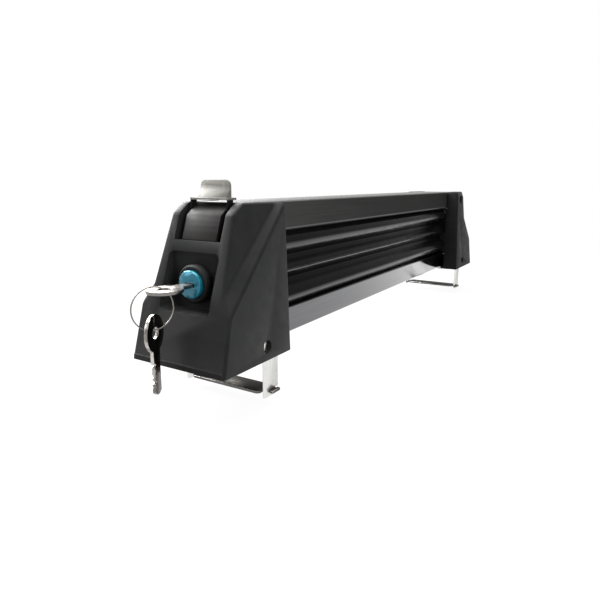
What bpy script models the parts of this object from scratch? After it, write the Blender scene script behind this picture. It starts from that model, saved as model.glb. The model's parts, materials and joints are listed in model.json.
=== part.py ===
"""Roof ski rack: a padded rail and a padded hinged arm between two towers that clamp to a crossbar.

Metres, +Z up. X runs along the rails from the lock end to the hinge end. The origin is the middle
of the lock end's crossbar seat. Both ends are drawn in a tower frame whose first axis u runs
inwards from the seat's middle, and the hinge end's frame is the lock end's turned half round.
"""

import math

import bmesh
import bpy
from mathutils import Matrix, Vector

# Clearances and edge rounding
GAP = 0.0003
SLIDE_GAP = 0.0004
EDGE_ROUND = 0.0012
HOUSING_ROUND = 0.0018
HOUSING_FOOT_ROUND = 0.0008
PAST = 0.006

# Overall
SEAT_SPAN = 0.493
BAR_DEPTH = 0.022

# Tower housing
TOWER_LENGTH = 0.075
TOWER_HEIGHT = 0.106
TOWER_FLOOR = 0.002
TOWER_WALL = 0.0025
BASE_HALF = 0.040
CHEEK_TOP_HALF = 0.0354
LOCK_STEP_HALF = 0.0304
LOCK_BEVEL_HALF = 0.0262
LOCK_RIDGE_HALF = 0.0300
HINGE_STEP_HALF = 0.0317
HINGE_BEVEL_HALF = 0.0312
HINGE_RIDGE_HALF = 0.0322
STEP_HEIGHT = 0.0388
STEP_RISE = 0.0098
STEP_SETBACK = 0.0094
UPPER_SETBACK = 0.0119
UPPER_LEAN = 0.0184
PLINTH_HEIGHT = 0.004
TOP_BEVEL_HEIGHT = 0.007
TOP_BEVEL_DEPTH = 0.0094
RIDGE_WIDTH = 0.0043
DECK_LOW = 0.028
DECK_HIGH = 0.031
BACK_SILL = 0.050
NOTCH_HALF = 0.0197
NOTCH_DEPTH = 0.024
SIDE_HOLE_RADIUS = 0.0045
SIDE_HOLE_INSET = -0.001
SIDE_HOLE_HEIGHT = 0.0117

# Rails and pads
RAIL_HALF = 0.0209
RAIL_BEAD = 0.0005
RAIL_BASE = 0.0054
RAIL_HEIGHT = 0.0198
ARM_HEIGHT = 0.0215
ARM_TOP_DROP = 0.0001
RAIL_WALL = 0.0020
RAIL_CORNER = 0.0020
SLOT_HALF = 0.008
CHANNEL_HALF = 0.013
CHANNEL_DEPTH = 0.004
CHANNEL_LEAD = 0.002
RAIL_INSERT = 0.011
PAD_MEAN_HALF = 0.0181
PAD_WAVE = 0.0036
PAD_BULGE_AT = 0.22
PAD_PERIOD = 0.86
PAD_BORE_WIDTH = 0.0115

# Lock pocket and lock
POCKET_HALF = 0.0215
POCKET_BELOW_LOCK = 0.0175
POCKET_ABOVE_LOCK = 0.0205
POCKET_CORNER = 0.004
POCKET_DEPTH = 0.024
LOCK_HEIGHT_SHARE = 0.514151
BOSS_RADIUS = 0.01275
BOSS_LENGTH = 0.0055
BARREL_RADIUS = 0.0092
BARREL_LENGTH = 0.0255
PLUG_RADIUS = 0.0070
CAP_RADIUS = 0.0094
CAP_THICKNESS = 0.0045
CAP_PROUD = 0.0027
TAIL_RADIUS = 0.0030
TAIL_LENGTH = 0.0085
LOCK_NUT_RADIUS = 0.0125
LOCK_NUT_THICKNESS = 0.004
CAM_THICKNESS = 0.0022
CAM_HALF_WIDTH = 0.0045
CAM_REACH = 0.0165
CAM_SCREW_RADIUS = 0.0016

# Keys and ring
KEY_THICKNESS = 0.0022
KEY_BLADE_HALF = 0.004
KEY_BLADE_LENGTH = 0.0285
KEY_NECK_HALF = 0.0045
KEY_BOW_LENGTH = 0.024
KEY_BOW_WIDTH = 0.022
KEY_HOLE_RADIUS = 0.0038
KEY_RIM = 0.0079
KEY_INSERTED = 0.0187
KEY_TEETH = 5
KEY_TOOTH_PITCH = 0.0036
KEY_TOOTH_LEAST = 0.2
KEY_TOOTH_STEP = 0.12
RING_RADIUS = 0.01305
RING_WIRE = 0.0008
RING_LIFT = 0.0010
RING_YAW = math.radians(-22.0)
SPARE_YAW = math.radians(-48.0)

# Latch
LATCH_BLOCK_HALF = 0.0145
LATCH_BLOCK_SETBACK = 0.0019
LATCH_BLOCK_DROP = 0.0025
LATCH_BLOCK_DEPTH = 0.013
LATCH_BLOCK_FOOT = 0.0084
LATCH_PIVOT_INSET = 0.0105
LATCH_PIVOT_DROP = 0.022
LATCH_PIN_RADIUS = 0.002
LATCH_PIN_HEAD = 0.003
LATCH_SHEET = 0.0015
LATCH_PLATE_RISE = 0.0016
LATCH_PLATE_DEPTH = 0.0081
LATCH_PLATE_REACH = 0.0086
LATCH_LEG_WIDTH = 0.0046
LATCH_EYE_RADIUS = 0.0044
TAB_HALF = 0.0125
TAB_RISE = 0.0145
TAB_CORNER = 0.004
TAB_FOLD_RISE = 0.0047
TAB_FOLD_REACH = 0.0035
ARM_END_GAP = 0.0008
SPRING_POCKET_HALF = 0.007
SPRING_TURNS = 5
SPRING_RADIUS = 0.0034
SPRING_WIRE = 0.00045
SPRING_PITCH = 0.0016
SPRING_POINTS = 9

# Arm end pieces
END_CAP_THICKNESS = 0.0021
END_PLUG_LENGTH = 0.012
STRIKER_SHEET = 0.002
STRIKER_SIDE = 0.012
STRIKER_BELOW_LOCK = 0.010
STRIKER_WIDTH = 0.0094
STRIKER_FOOT_LENGTH = 0.019
STRIKER_RUN = 0.0030
STRIKER_LIGAMENT = 0.002
STRIKER_WINDOW_BELOW = 0.0057
STRIKER_WINDOW_ABOVE = 0.0122
HINGE_U = 0.0065
HINGE_DROP = 0.011
HINGE_PIN_RADIUS = 0.004
HINGE_HEAD_RADIUS = 0.0055
HINGE_HEAD_THICKNESS = 0.0018
KNUCKLE_RADIUS = 0.0104
KNUCKLE_LENGTH = 0.0137
KNUCKLE_TONGUE = 0.014
KNUCKLE_SCREW_Y = 0.007
T_NUT_LENGTH = 0.017
T_NUT_INSET = 0.001
STRIKER_SCREW_PITCH = 0.009

# Base, seat and clamp
BASE_PLATE_INSET = 0.0064
BASE_PLATE_THICKNESS = 0.0027
SEAT_INSET = 0.012
SEAT_LENGTH = 0.052
SEAT_RIB = 0.0007
SEAT_RIBS = 5
SCREW_RADIUS = 0.0015
SCREW_HEAD_RADIUS = 0.0035
SCREW_HEAD_THICKNESS = 0.0022
SCREW_REACH = 0.0045
BOSS_SCREW_INSET = 0.0155
BOSS_SCREW_Y = 0.024
BOSS_SCREW_WALL = 0.0026
RAIL_SCREW_Y = 0.015
STRAP_SIDE_INSET = 0.0038
STRAP_SHEET = 0.002
STRAP_WIDTH = 0.016
STRAP_INSET = 0.0197
STRAP_WEB_TOP = 0.0220
STRAP_BEND = 0.004
STRAP_FOOT = 0.0019
PLATE_SHEET = 0.002
PLATE_WIDTH = 0.017
PLATE_SHOULDER = 0.0052
PLATE_TONGUE = 0.007
PLATE_HEAD = 0.0095
PLATE_HEAD_DEPTH = 0.0024
PLATE_CORNER = 0.002
BOLT_RADIUS = 0.0040
BOLT_HEAD_RADIUS = 0.0065
BOLT_HEAD_HEIGHT = 0.0048
BOLT_SOCKET_RADIUS = 0.0033
BOLT_SOCKET_DEPTH = 0.003
BOLT_END = 0.0065
WASHER_RADIUS = 0.0085
WASHER_THICKNESS = 0.0014
NUT_RADIUS = 0.0072
NUT_HEIGHT = 0.0057

# Derived places in the tower frame
OUTER_U = -TOWER_LENGTH / 2
INNER_U = TOWER_LENGTH / 2
FRONT_BASE = (OUTER_U, TOWER_FLOOR)
FRONT_STEP = (OUTER_U + STEP_SETBACK, STEP_HEIGHT)
FRONT_UPPER = (OUTER_U + UPPER_SETBACK, STEP_HEIGHT + STEP_RISE)
FRONT_BEVEL = (FRONT_UPPER[0] + UPPER_LEAN, TOWER_HEIGHT - TOP_BEVEL_HEIGHT)
FRONT_TOP = (FRONT_BEVEL[0] + TOP_BEVEL_DEPTH, TOWER_HEIGHT)
BACK_TOP = (INNER_U, TOWER_HEIGHT)
BACK_BASE = (INNER_U, TOWER_FLOOR)
RIDGE_INNER = (INNER_U - RIDGE_WIDTH, TOWER_HEIGHT)
LOCK_SIDE = (LOCK_STEP_HALF, LOCK_BEVEL_HALF, LOCK_RIDGE_HALF)
HINGE_SIDE = (HINGE_STEP_HALF, HINGE_BEVEL_HALF, HINGE_RIDGE_HALF)
POCKET_FLOOR_U = OUTER_U + POCKET_DEPTH
CAVITY_FRONT_U = POCKET_FLOOR_U + TOWER_WALL
NOTCH_FLOOR = TOWER_HEIGHT - NOTCH_DEPTH
BASE_PLATE_HALF = BASE_HALF - BASE_PLATE_INSET
SEAT_HALF_WIDTH = BASE_HALF - SEAT_INSET
STRAP_HALF = BASE_HALF - STRAP_SIDE_INSET
PLATE_HALF = STRAP_HALF - PLATE_SHOULDER
LOCK_HEIGHT = TOWER_HEIGHT * LOCK_HEIGHT_SHARE
POCKET_LOW = LOCK_HEIGHT - POCKET_BELOW_LOCK
POCKET_HIGH = LOCK_HEIGHT + POCKET_ABOVE_LOCK
STRIKER_LOW = LOCK_HEIGHT - STRIKER_BELOW_LOCK
STRAP_U = INNER_U - STRAP_INSET
BOSS_SCREW_U = OUTER_U + BOSS_SCREW_INSET
HINGE_Z = TOWER_HEIGHT - HINGE_DROP
ARM_TOP = TOWER_HEIGHT - ARM_TOP_DROP
CHANNEL_CLEAR_HALF = RAIL_HALF + RAIL_BEAD + SLIDE_GAP
RAIL_TOP = RAIL_BASE + RAIL_HEIGHT
ARM_BASE = ARM_TOP - ARM_HEIGHT
PADS_MEET = (RAIL_TOP + ARM_BASE) / 2
BASE_PLATE_LOW = TOWER_FLOOR + GAP
BASE_PLATE_HIGH = BASE_PLATE_LOW + BASE_PLATE_THICKNESS
BOSS_FACE_U = POCKET_FLOOR_U - GAP - BOSS_LENGTH
CAP_FACE_U = BOSS_FACE_U - CAP_PROUD
BARREL_END_U = BOSS_FACE_U + BARREL_LENGTH
TAIL_END_U = BARREL_END_U + TAIL_LENGTH
CAM_LOW_U = TAIL_END_U + GAP
CAM_HIGH_U = CAM_LOW_U + CAM_THICKNESS
LATCH_PIVOT_U = CAVITY_FRONT_U + LATCH_PIVOT_INSET
LATCH_PIVOT_Z = TOWER_HEIGHT - LATCH_PIVOT_DROP
LATCH_BLOCK_TOP = TOWER_HEIGHT - LATCH_BLOCK_DROP
LATCH_PLATE_Z = TOWER_HEIGHT + LATCH_PLATE_RISE
TAB_TOP = TOWER_HEIGHT + TAB_RISE
LATCH_PLATE_HIGH_U = LATCH_PIVOT_U + LATCH_PLATE_REACH
LATCH_PLATE_LOW_U = LATCH_PLATE_HIGH_U - LATCH_PLATE_DEPTH
LATCH_OUT_HALF = LATCH_BLOCK_HALF + SLIDE_GAP + LATCH_SHEET
ARM_END_U = LATCH_PLATE_HIGH_U + ARM_END_GAP
CHANNEL_FRONT_U = ARM_END_U - CHANNEL_LEAD
ARM_TUBE_U = ARM_END_U + END_CAP_THICKNESS + GAP
ARM_TUBE_FAR_U = HINGE_U + KNUCKLE_LENGTH + GAP
STRIKER_LOW_U = LATCH_PLATE_HIGH_U + STRIKER_RUN
STRIKER_HIGH_U = STRIKER_LOW_U + STRIKER_WIDTH
PLATE_HIGH_Z = -BAR_DEPTH - GAP
PLATE_LOW_Z = PLATE_HIGH_Z - PLATE_SHEET
STRAP_LOW_Z = PLATE_LOW_Z - GAP - STRAP_FOOT
KEY_LENGTH = KEY_BLADE_LENGTH + KEY_BOW_LENGTH * 0.955
CHANNEL_FLOOR_Z = ARM_BASE + RAIL_WALL + CHANNEL_DEPTH
KNUCKLE_SCREW_U = HINGE_U + KNUCKLE_LENGTH + KNUCKLE_TONGUE / 2
T_NUT_MIDDLE_U = ARM_TUBE_U + T_NUT_INSET + T_NUT_LENGTH / 2

LOCK_END = Matrix.Identity(4)
HINGE_END = Matrix.Translation((SEAT_SPAN, 0.0, 0.0)) @ Matrix.Rotation(math.pi, 4, "Z")


def cheek_half(z):
    """Half width of the raised cheek at height z."""
    share = (z - TOWER_FLOOR) / (TOWER_HEIGHT - TOWER_FLOOR)
    return BASE_HALF + (CHEEK_TOP_HALF - BASE_HALF) * share


def recess_half(side, u, z):
    """Half width at (u, z) of a tower's side above its ridge, a plane through three corners."""
    places = (FRONT_UPPER, FRONT_BEVEL, RIDGE_INNER)
    first, second, third = (Vector((place[0], half, place[1])) for place, half in zip(places, side))
    flat = (second - first).cross(third - first)
    return first.y - (flat.x * (u - first.x) + flat.z * (z - first.z)) / flat.y


def front_u(z):
    """Place of the upper front face at height z."""
    share = (z - FRONT_UPPER[1]) / (FRONT_BEVEL[1] - FRONT_UPPER[1])
    return FRONT_UPPER[0] + (FRONT_BEVEL[0] - FRONT_UPPER[0]) * share


def finish(name, colour, roughness, metallic=0.0):
    """A plain material in the piece's own colour."""
    made = bpy.data.materials.new(name)
    made.use_nodes = True
    shader = made.node_tree.nodes["Principled BSDF"]
    shader.inputs["Base Color"].default_value = (*colour, 1.0)
    shader.inputs["Roughness"].default_value = roughness
    shader.inputs["Metallic"].default_value = metallic
    made.diffuse_color = (*colour, 1.0)
    return made


def black_plastic(name):
    return finish(name, (0.022, 0.022, 0.023), 0.55)


def black_aluminium(name):
    return finish(name, (0.03, 0.03, 0.032), 0.3, 0.8)


def black_rubber(name):
    return finish(name, (0.016, 0.016, 0.016), 0.6)


def steel(name):
    return finish(name, (0.68, 0.67, 0.64), 0.3, 1.0)


def pivot(name, matrix):
    """An empty on a joint's axis, or at a fixed frame."""
    empty = bpy.data.objects.new(name, None)
    empty.empty_display_size = 0.01
    bpy.context.scene.collection.objects.link(empty)
    empty.matrix_basis = matrix
    return empty


def attach(obj, holder, frame):
    """Parents an object drawn in a frame to the empty that carries it."""
    obj.parent = holder
    obj.matrix_parent_inverse = holder.matrix_basis.inverted()
    obj.matrix_basis = frame


def piece(name, bm, made, holder, frame):
    """Turns a bmesh into a named object on its carrier."""
    bmesh.ops.recalc_face_normals(bm, faces=bm.faces)
    mesh = bpy.data.meshes.new(name)
    bm.to_mesh(mesh)
    bm.free()
    mesh.shade_smooth()
    mesh.set_sharp_from_angle(angle=math.radians(35.0))
    mesh.materials.append(made)
    obj = bpy.data.objects.new(name, mesh)
    bpy.context.scene.collection.objects.link(obj)
    attach(obj, holder, frame)
    return obj


def combine(obj, bm, operation, label):
    """Adds a Boolean with a hidden helper shape drawn in the same frame as the piece."""
    bmesh.ops.recalc_face_normals(bm, faces=bm.faces)
    mesh = bpy.data.meshes.new(obj.name + "_" + label)
    bm.to_mesh(mesh)
    bm.free()
    helper = bpy.data.objects.new(mesh.name, mesh)
    bpy.context.scene.collection.objects.link(helper)
    helper.parent = obj.parent
    helper.matrix_parent_inverse = obj.matrix_parent_inverse
    helper.matrix_basis = obj.matrix_basis
    helper.hide_render = True
    helper.display_type = "WIRE"
    step = obj.modifiers.new(label, "BOOLEAN")
    step.operation = operation
    step.solver = "EXACT"
    step.object = helper


def cut(obj, bm, label):
    combine(obj, bm, "DIFFERENCE", label)


def join(obj, bm, label):
    combine(obj, bm, "UNION", label)


def loop_edges(bm, points):
    """A closed loop of edges through 3-D points."""
    verts = [bm.verts.new(point) for point in points]
    return [bm.edges.new(pair) for pair in zip(verts, verts[1:] + verts[:1])]


def extrude_loops(loops, lift, step):
    """A prism from an outline and its holes; lift places an outline point, step is the run."""
    bm = bmesh.new()
    edges = []
    for loop in loops:
        edges += loop_edges(bm, [lift(*point) for point in loop])
    bmesh.ops.triangle_fill(bm, use_beauty=True, edges=edges)
    grown = bmesh.ops.extrude_face_region(bm, geom=bm.faces[:])
    moved = [item for item in grown["geom"] if isinstance(item, bmesh.types.BMVert)]
    bmesh.ops.translate(bm, vec=step, verts=moved)
    return bm


def along_x(loops, start, end):
    """A prism along u of outlines drawn in (y, z)."""
    return extrude_loops(loops, lambda y, z: (start, y, z), (end - start, 0.0, 0.0))


def along_y(loops, start, end):
    """A prism across the rack of outlines drawn in (u, z)."""
    return extrude_loops(loops, lambda u, z: (u, start, z), (0.0, end - start, 0.0))


def along_z(loops, start, end):
    """A prism upwards of outlines drawn in (u, y)."""
    return extrude_loops(loops, lambda u, y: (u, y, start), (0.0, 0.0, end - start))


def rectangle(low, high):
    """Corner points of a rectangle."""
    return [low, (high[0], low[1]), high, (low[0], high[1])]


def arc(centre, radius, start, end, steps):
    """Points on an arc, angles in degrees."""
    points = []
    for index in range(steps + 1):
        angle = math.radians(start + (end - start) * index / steps)
        points.append((centre[0] + radius * math.cos(angle), centre[1] + radius * math.sin(angle)))
    return points


def circle(centre, radius, steps=20):
    return arc(centre, radius, 0.0, 360.0, steps)[:-1]


def rounded(low, high, radius, steps=3):
    """A rectangle with round corners."""
    corners = (
        ((high[0] - radius, high[1] - radius), 0.0),
        ((low[0] + radius, high[1] - radius), 90.0),
        ((low[0] + radius, low[1] + radius), 180.0),
        ((high[0] - radius, low[1] + radius), 270.0),
    )
    points = []
    for centre, start in corners:
        points += arc(centre, radius, start, start + 90.0, steps)
    return points


def block(low, high):
    """A box between two corners."""
    return along_x([rectangle(low[1:], high[1:])], low[0], high[0])


def turned(profile, origin, axis, steps=24):
    """A solid of revolution of a closed (distance along the axis, radius) profile."""
    direction = Vector(axis)
    side = Vector((0.0, 1.0, 0.0)) if abs(direction.y) < 0.5 else Vector((1.0, 0.0, 0.0))
    bm = bmesh.new()
    points = [Vector(origin) + direction * run + side * radius for run, radius in profile]
    edges = loop_edges(bm, points)
    bmesh.ops.spin(
        bm,
        geom=bm.verts[:] + edges,
        cent=origin,
        axis=direction,
        angle=2.0 * math.pi,
        steps=steps,
        use_merge=True,
    )
    bmesh.ops.remove_doubles(bm, verts=bm.verts, dist=1e-6)
    bmesh.ops.dissolve_degenerate(bm, dist=1e-7, edges=bm.edges)
    on_axis = [edge for edge in bm.edges if not edge.link_faces]
    bmesh.ops.delete(bm, geom=on_axis, context="EDGES")
    return bm


def tower_body(side):
    """The housing's outer form: a side patch, its mirror, and the strips that bridge them."""
    bm = bmesh.new()

    def corner(place, half):
        return bm.verts.new((place[0], -half, place[1]))

    base = corner(FRONT_BASE, cheek_half(FRONT_BASE[1]))
    step = corner(FRONT_STEP, cheek_half(FRONT_STEP[1]))
    upper = corner(FRONT_UPPER, recess_half(side, *FRONT_UPPER))
    bevel = corner(FRONT_BEVEL, recess_half(side, *FRONT_BEVEL))
    top = corner(FRONT_TOP, recess_half(side, *FRONT_TOP))
    ridge_in = corner(RIDGE_INNER, recess_half(side, *RIDGE_INNER))
    back_top = corner(BACK_TOP, cheek_half(BACK_TOP[1]))
    back_base = corner(BACK_BASE, cheek_half(BACK_BASE[1]))
    bm.faces.new((upper, bevel, top, ridge_in))
    bm.faces.new((step, upper, ridge_in, back_top))
    bm.faces.new((base, step, back_top, back_base))
    bmesh.ops.mirror(bm, geom=bm.verts[:] + bm.edges[:] + bm.faces[:], axis="Y", merge_dist=-1.0)
    open_edges = [edge for edge in bm.edges if edge.is_boundary]
    bmesh.ops.bridge_loops(bm, edges=open_edges)
    bmesh.ops.recalc_face_normals(bm, faces=bm.faces)
    round_housing(bm, False, HOUSING_ROUND, 3)
    round_housing(bm, True, HOUSING_FOOT_ROUND, 2)
    return bm


def round_housing(bm, at_foot, offset, segments):
    """Rounds the housing's edges: those round its foot, or all the others."""
    chosen = []
    for edge in bm.edges:
        low = max(vert.co.z for vert in edge.verts) < TOWER_FLOOR + GAP
        if low == at_foot and edge.calc_face_angle(0.0) > math.radians(12.0):
            chosen.append(edge)
    bmesh.ops.bevel(
        bm,
        geom=chosen,
        offset=offset,
        offset_type="OFFSET",
        segments=segments,
        profile=0.5,
        affect="EDGES",
    )


def tower_lower_cavity():
    """The space below the deck that the clamp strap moves in, open underneath."""
    slope = STEP_SETBACK / (STEP_HEIGHT - TOWER_FLOOR)
    low = TOWER_FLOOR - PAST
    front_low = OUTER_U + TOWER_WALL * 1.3 + slope * (low - TOWER_FLOOR)
    front_high = OUTER_U + TOWER_WALL * 1.3 + slope * (DECK_LOW - TOWER_FLOOR)
    back = INNER_U - TOWER_WALL
    half = STRAP_HALF + SLIDE_GAP
    return along_y([[(front_low, low), (back, low), (back, DECK_LOW), (front_high, DECK_LOW)]], -half, half)


def tower_upper_cavity(front):
    """The arm's channel above the deck, open at the top and, over a sill, at the back."""
    over = TOWER_HEIGHT + PAST
    behind = INNER_U + PAST
    wall = INNER_U - TOWER_WALL
    outline = [
        (front, DECK_HIGH),
        (wall, DECK_HIGH),
        (wall, BACK_SILL),
        (behind, BACK_SILL),
        (behind, over),
        (front, over),
    ]
    return along_y([outline], -CHANNEL_CLEAR_HALF, CHANNEL_CLEAR_HALF)


def tower(name, holder, frame, side, channel_u):
    """A tower housing with the openings that both ends share; the arm's channel starts at channel_u."""
    housing = piece(name, tower_body(side), black_plastic(name), holder, frame)
    ledge_half = BASE_HALF - HOUSING_ROUND
    ledge = block(
        (OUTER_U, -ledge_half, TOWER_FLOOR + HOUSING_FOOT_ROUND),
        (OUTER_U + TOWER_WALL, ledge_half, TOWER_FLOOR + PLINTH_HEIGHT),
    )
    join(housing, ledge, "plinth")
    cut(housing, tower_lower_cavity(), "lower_cavity")
    for side in (-1.0, 1.0):
        centre = (BOSS_SCREW_U, side * BOSS_SCREW_Y)
        outer = SCREW_RADIUS + GAP + BOSS_SCREW_WALL
        post = along_z([circle(centre, outer, 16)], BASE_PLATE_HIGH + GAP, DECK_LOW + GAP * 2)
        join(housing, post, "boss_post_" + str(int(side)))
        hole = circle(centre, SCREW_RADIUS + GAP, 12)
        bore = along_z([hole], TOWER_FLOOR, BASE_PLATE_HIGH + SCREW_REACH * 2)
        cut(housing, bore, "boss_bore_" + str(int(side)))
    cut(housing, tower_upper_cavity(channel_u), "upper_cavity")
    notch = [(OUTER_U, NOTCH_FLOOR), (CAVITY_FRONT_U + PAST, NOTCH_FLOOR)]
    notch += [(CAVITY_FRONT_U + PAST, TOWER_HEIGHT + PAST), (OUTER_U, TOWER_HEIGHT + PAST)]
    cut(housing, along_y([notch], -NOTCH_HALF, NOTCH_HALF), "notch")
    entry = rectangle((-CHANNEL_CLEAR_HALF, TOWER_FLOOR - PAST), (CHANNEL_CLEAR_HALF, RAIL_TOP + SLIDE_GAP))
    cut(housing, along_x([entry], INNER_U - RAIL_INSERT - PAST / 2, INNER_U + PAST), "rail_entry")
    bolt = circle((STRAP_U, 0.0), BOLT_RADIUS + GAP)
    cut(housing, along_z([bolt], DECK_LOW - PAST / 2, DECK_HIGH + PAST / 2), "bolt_hole")
    middle = (STRAP_U - STRAP_WIDTH / 2 + SIDE_HOLE_INSET, SIDE_HOLE_HEIGHT)
    hole = circle(middle, SIDE_HOLE_RADIUS, 20)
    for side in (-1.0, 1.0):
        reach = sorted((side * (STRAP_HALF - GAP), side * (BASE_HALF + PAST)))
        cut(housing, along_y([hole], *reach), "side_hole_" + str(int(side)))
    return housing


def lock_tower(holder):
    """The lock end's housing: the pocket round the lock and the hole for its barrel."""
    housing = tower("lock_tower", holder, LOCK_END, LOCK_SIDE, CHANNEL_FRONT_U)
    well = rectangle((CAVITY_FRONT_U, DECK_HIGH), (CHANNEL_FRONT_U + PAST, TOWER_HEIGHT + PAST))
    cut(housing, along_y([well], -NOTCH_HALF, NOTCH_HALF), "latch_well")
    mouth = rounded((-POCKET_HALF, POCKET_LOW), (POCKET_HALF, POCKET_HIGH), POCKET_CORNER)
    cut(housing, along_x([mouth], OUTER_U - PAST, POCKET_FLOOR_U), "pocket")
    hole = circle((0.0, LOCK_HEIGHT), BARREL_RADIUS + GAP, 24)
    cut(housing, along_x([hole], POCKET_FLOOR_U - PAST, CAVITY_FRONT_U + PAST), "lock_hole")


def hinge_tower(holder):
    """The hinge end's housing: bores for the hinge pin, with sunk seats for its heads."""
    housing = tower("hinge_tower", holder, HINGE_END, HINGE_SIDE, CAVITY_FRONT_U)
    bore = circle((HINGE_U, HINGE_Z), HINGE_PIN_RADIUS + GAP, 20)
    cut(housing, along_y([bore], -BASE_HALF, BASE_HALF), "pin_bore")
    seat = circle((HINGE_U, HINGE_Z), HINGE_HEAD_RADIUS + GAP, 24)
    inner = hinge_seat_half()
    for side in (-1.0, 1.0):
        reach = sorted((side * inner, side * BASE_HALF))
        cut(housing, along_y([seat], *reach), "pin_seat_" + str(int(side)))


def hinge_seat_half():
    """How far out the hinge pin's heads are seated."""
    return recess_half(HINGE_SIDE, HINGE_U - HINGE_HEAD_RADIUS, HINGE_Z + HINGE_HEAD_RADIUS) - GAP


def base_plate(name, holder, frame):
    """The plate that closes a tower below and carries the end of the rail."""
    front = OUTER_U + STEP_SETBACK + GAP
    back = INNER_U - TOWER_WALL - GAP * 2
    outline = rounded((front, -BASE_PLATE_HALF), (back, BASE_PLATE_HALF), BASE_PLATE_THICKNESS)
    plate = piece(
        name, along_z([outline], BASE_PLATE_LOW, BASE_PLATE_HIGH), black_plastic(name), holder, frame
    )
    for index, (u, y) in enumerate(screw_places()):
        sink = circle((u, y), SCREW_HEAD_RADIUS + GAP, 16)
        head = along_z([sink], TOWER_FLOOR - PAST, BASE_PLATE_LOW + SCREW_HEAD_THICKNESS)
        cut(plate, head, "screw_head_" + str(index))
        hole = circle((u, y), SCREW_RADIUS + GAP, 12)
        shank = along_z([hole], BASE_PLATE_LOW, BASE_PLATE_HIGH + PAST)
        cut(plate, shank, "screw_shank_" + str(index))


def screw_places():
    """Where the base screws stand: two in the housing's posts and two in the rail's end."""
    rail_u = INNER_U - RAIL_INSERT / 2
    return [
        (BOSS_SCREW_U, -BOSS_SCREW_Y),
        (BOSS_SCREW_U, BOSS_SCREW_Y),
        (rail_u, -RAIL_SCREW_Y),
        (rail_u, RAIL_SCREW_Y),
    ]


def base_screws(end, holder, frame):
    """The sunk screws of a base plate."""
    low = BASE_PLATE_LOW + GAP / 3
    head_top = SCREW_HEAD_THICKNESS - GAP * 4 / 3
    reach = BASE_PLATE_HIGH + SCREW_REACH - low
    profile = [(0.0, 0.0), (0.0, SCREW_HEAD_RADIUS), (head_top, SCREW_HEAD_RADIUS)]
    profile += [(head_top, SCREW_RADIUS), (reach, SCREW_RADIUS), (reach, 0.0)]
    for index, (u, y) in enumerate(screw_places()):
        name = end + "_base_screw_" + str(index + 1)
        piece(name, turned(profile, (u, y, low), (0.0, 0.0, 1.0), 12), steel(name), holder, frame)


def seat_pad(name, holder, frame):
    """The ribbed rubber foot that sits on the crossbar."""
    half = SEAT_LENGTH / 2
    outline = rounded((-half, -SEAT_HALF_WIDTH), (half, SEAT_HALF_WIDTH), TOWER_FLOOR * 2)
    pad = piece(name, along_z([outline], 0.0, TOWER_FLOOR), black_rubber(name), holder, frame)
    pitch = 2 * SEAT_HALF_WIDTH / (SEAT_RIBS + 1)
    for index in range(SEAT_RIBS):
        if index == SEAT_RIBS // 2:
            continue
        middle = (index - (SEAT_RIBS - 1) / 2) * pitch
        groove = rectangle((middle - SEAT_RIB, -PAST), (middle + SEAT_RIB, SEAT_RIB))
        cut(pad, along_x([groove], -half - PAST, half + PAST), "groove_" + str(index))


def rail_section(base, height, slot_sign):
    """Outline and bore of a rail: a box with a slotted channel for its pad and beads at the slot side."""
    corner = RAIL_CORNER
    low = 0.0
    outline = [(SLOT_HALF, height), (RAIL_HALF + RAIL_BEAD - corner / 4, height)]
    outline += [(RAIL_HALF + RAIL_BEAD, height - corner / 4), (RAIL_HALF + RAIL_BEAD, height - corner / 2)]
    outline += [(RAIL_HALF, height - corner)]
    outline += arc((RAIL_HALF - corner, low + corner), corner, 0.0, -90.0, 3)
    mirrored = [(-y, z) for y, z in reversed(outline)]
    channel_top = height - RAIL_WALL
    channel_low = channel_top - CHANNEL_DEPTH
    channel = [(-SLOT_HALF, channel_top), (-CHANNEL_HALF, channel_top), (-CHANNEL_HALF, channel_low)]
    channel += [(y * -1.0, z) for y, z in reversed(channel)]
    outer = outline + mirrored + channel
    bore = rectangle(
        (-RAIL_HALF + RAIL_WALL, low + RAIL_WALL), (RAIL_HALF - RAIL_WALL, channel_low - RAIL_WALL)
    )
    return [place_section(outer, base, height, slot_sign), place_section(bore, base, height, slot_sign)]


def place_section(points, base, height, slot_sign):
    """Puts a section drawn slot-up at its height, turned over for a slot that faces down."""
    if slot_sign > 0.0:
        return [(y, base + z) for y, z in points]
    return [(-y, base + height - z) for y, z in points]


def lower_rail(holder):
    start = INNER_U - RAIL_INSERT
    end = SEAT_SPAN - start
    rail = piece(
        "lower_rail",
        along_x(rail_section(RAIL_BASE, RAIL_HEIGHT, 1.0), start, end),
        black_aluminium("lower_rail"),
        holder,
        LOCK_END,
    )
    screw_u = INNER_U - RAIL_INSERT / 2
    for index, u in enumerate((screw_u, SEAT_SPAN - screw_u)):
        for side in (-1.0, 1.0):
            hole = circle((u, side * RAIL_SCREW_Y), SCREW_RADIUS + GAP, 12)
            label = "screw_hole_" + str(index) + "_" + str(int(side))
            cut(rail, along_z([hole], RAIL_BASE - PAST, RAIL_BASE + RAIL_WALL * 2), label)


def arm_rail(holder):
    rail = piece(
        "arm_rail",
        along_x(rail_section(ARM_BASE, ARM_HEIGHT, -1.0), ARM_TUBE_U, SEAT_SPAN - ARM_TUBE_FAR_U),
        black_aluminium("arm_rail"),
        holder,
        LOCK_END,
    )
    for side in (-1.0, 1.0):
        hole = circle((SEAT_SPAN - KNUCKLE_SCREW_U, side * KNUCKLE_SCREW_Y), SCREW_RADIUS + GAP, 12)
        bore = along_z([hole], CHANNEL_FLOOR_Z - RAIL_WALL, CHANNEL_FLOOR_Z + RAIL_WALL * 2)
        cut(rail, bore, "screw_hole_" + str(int(side)))


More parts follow.
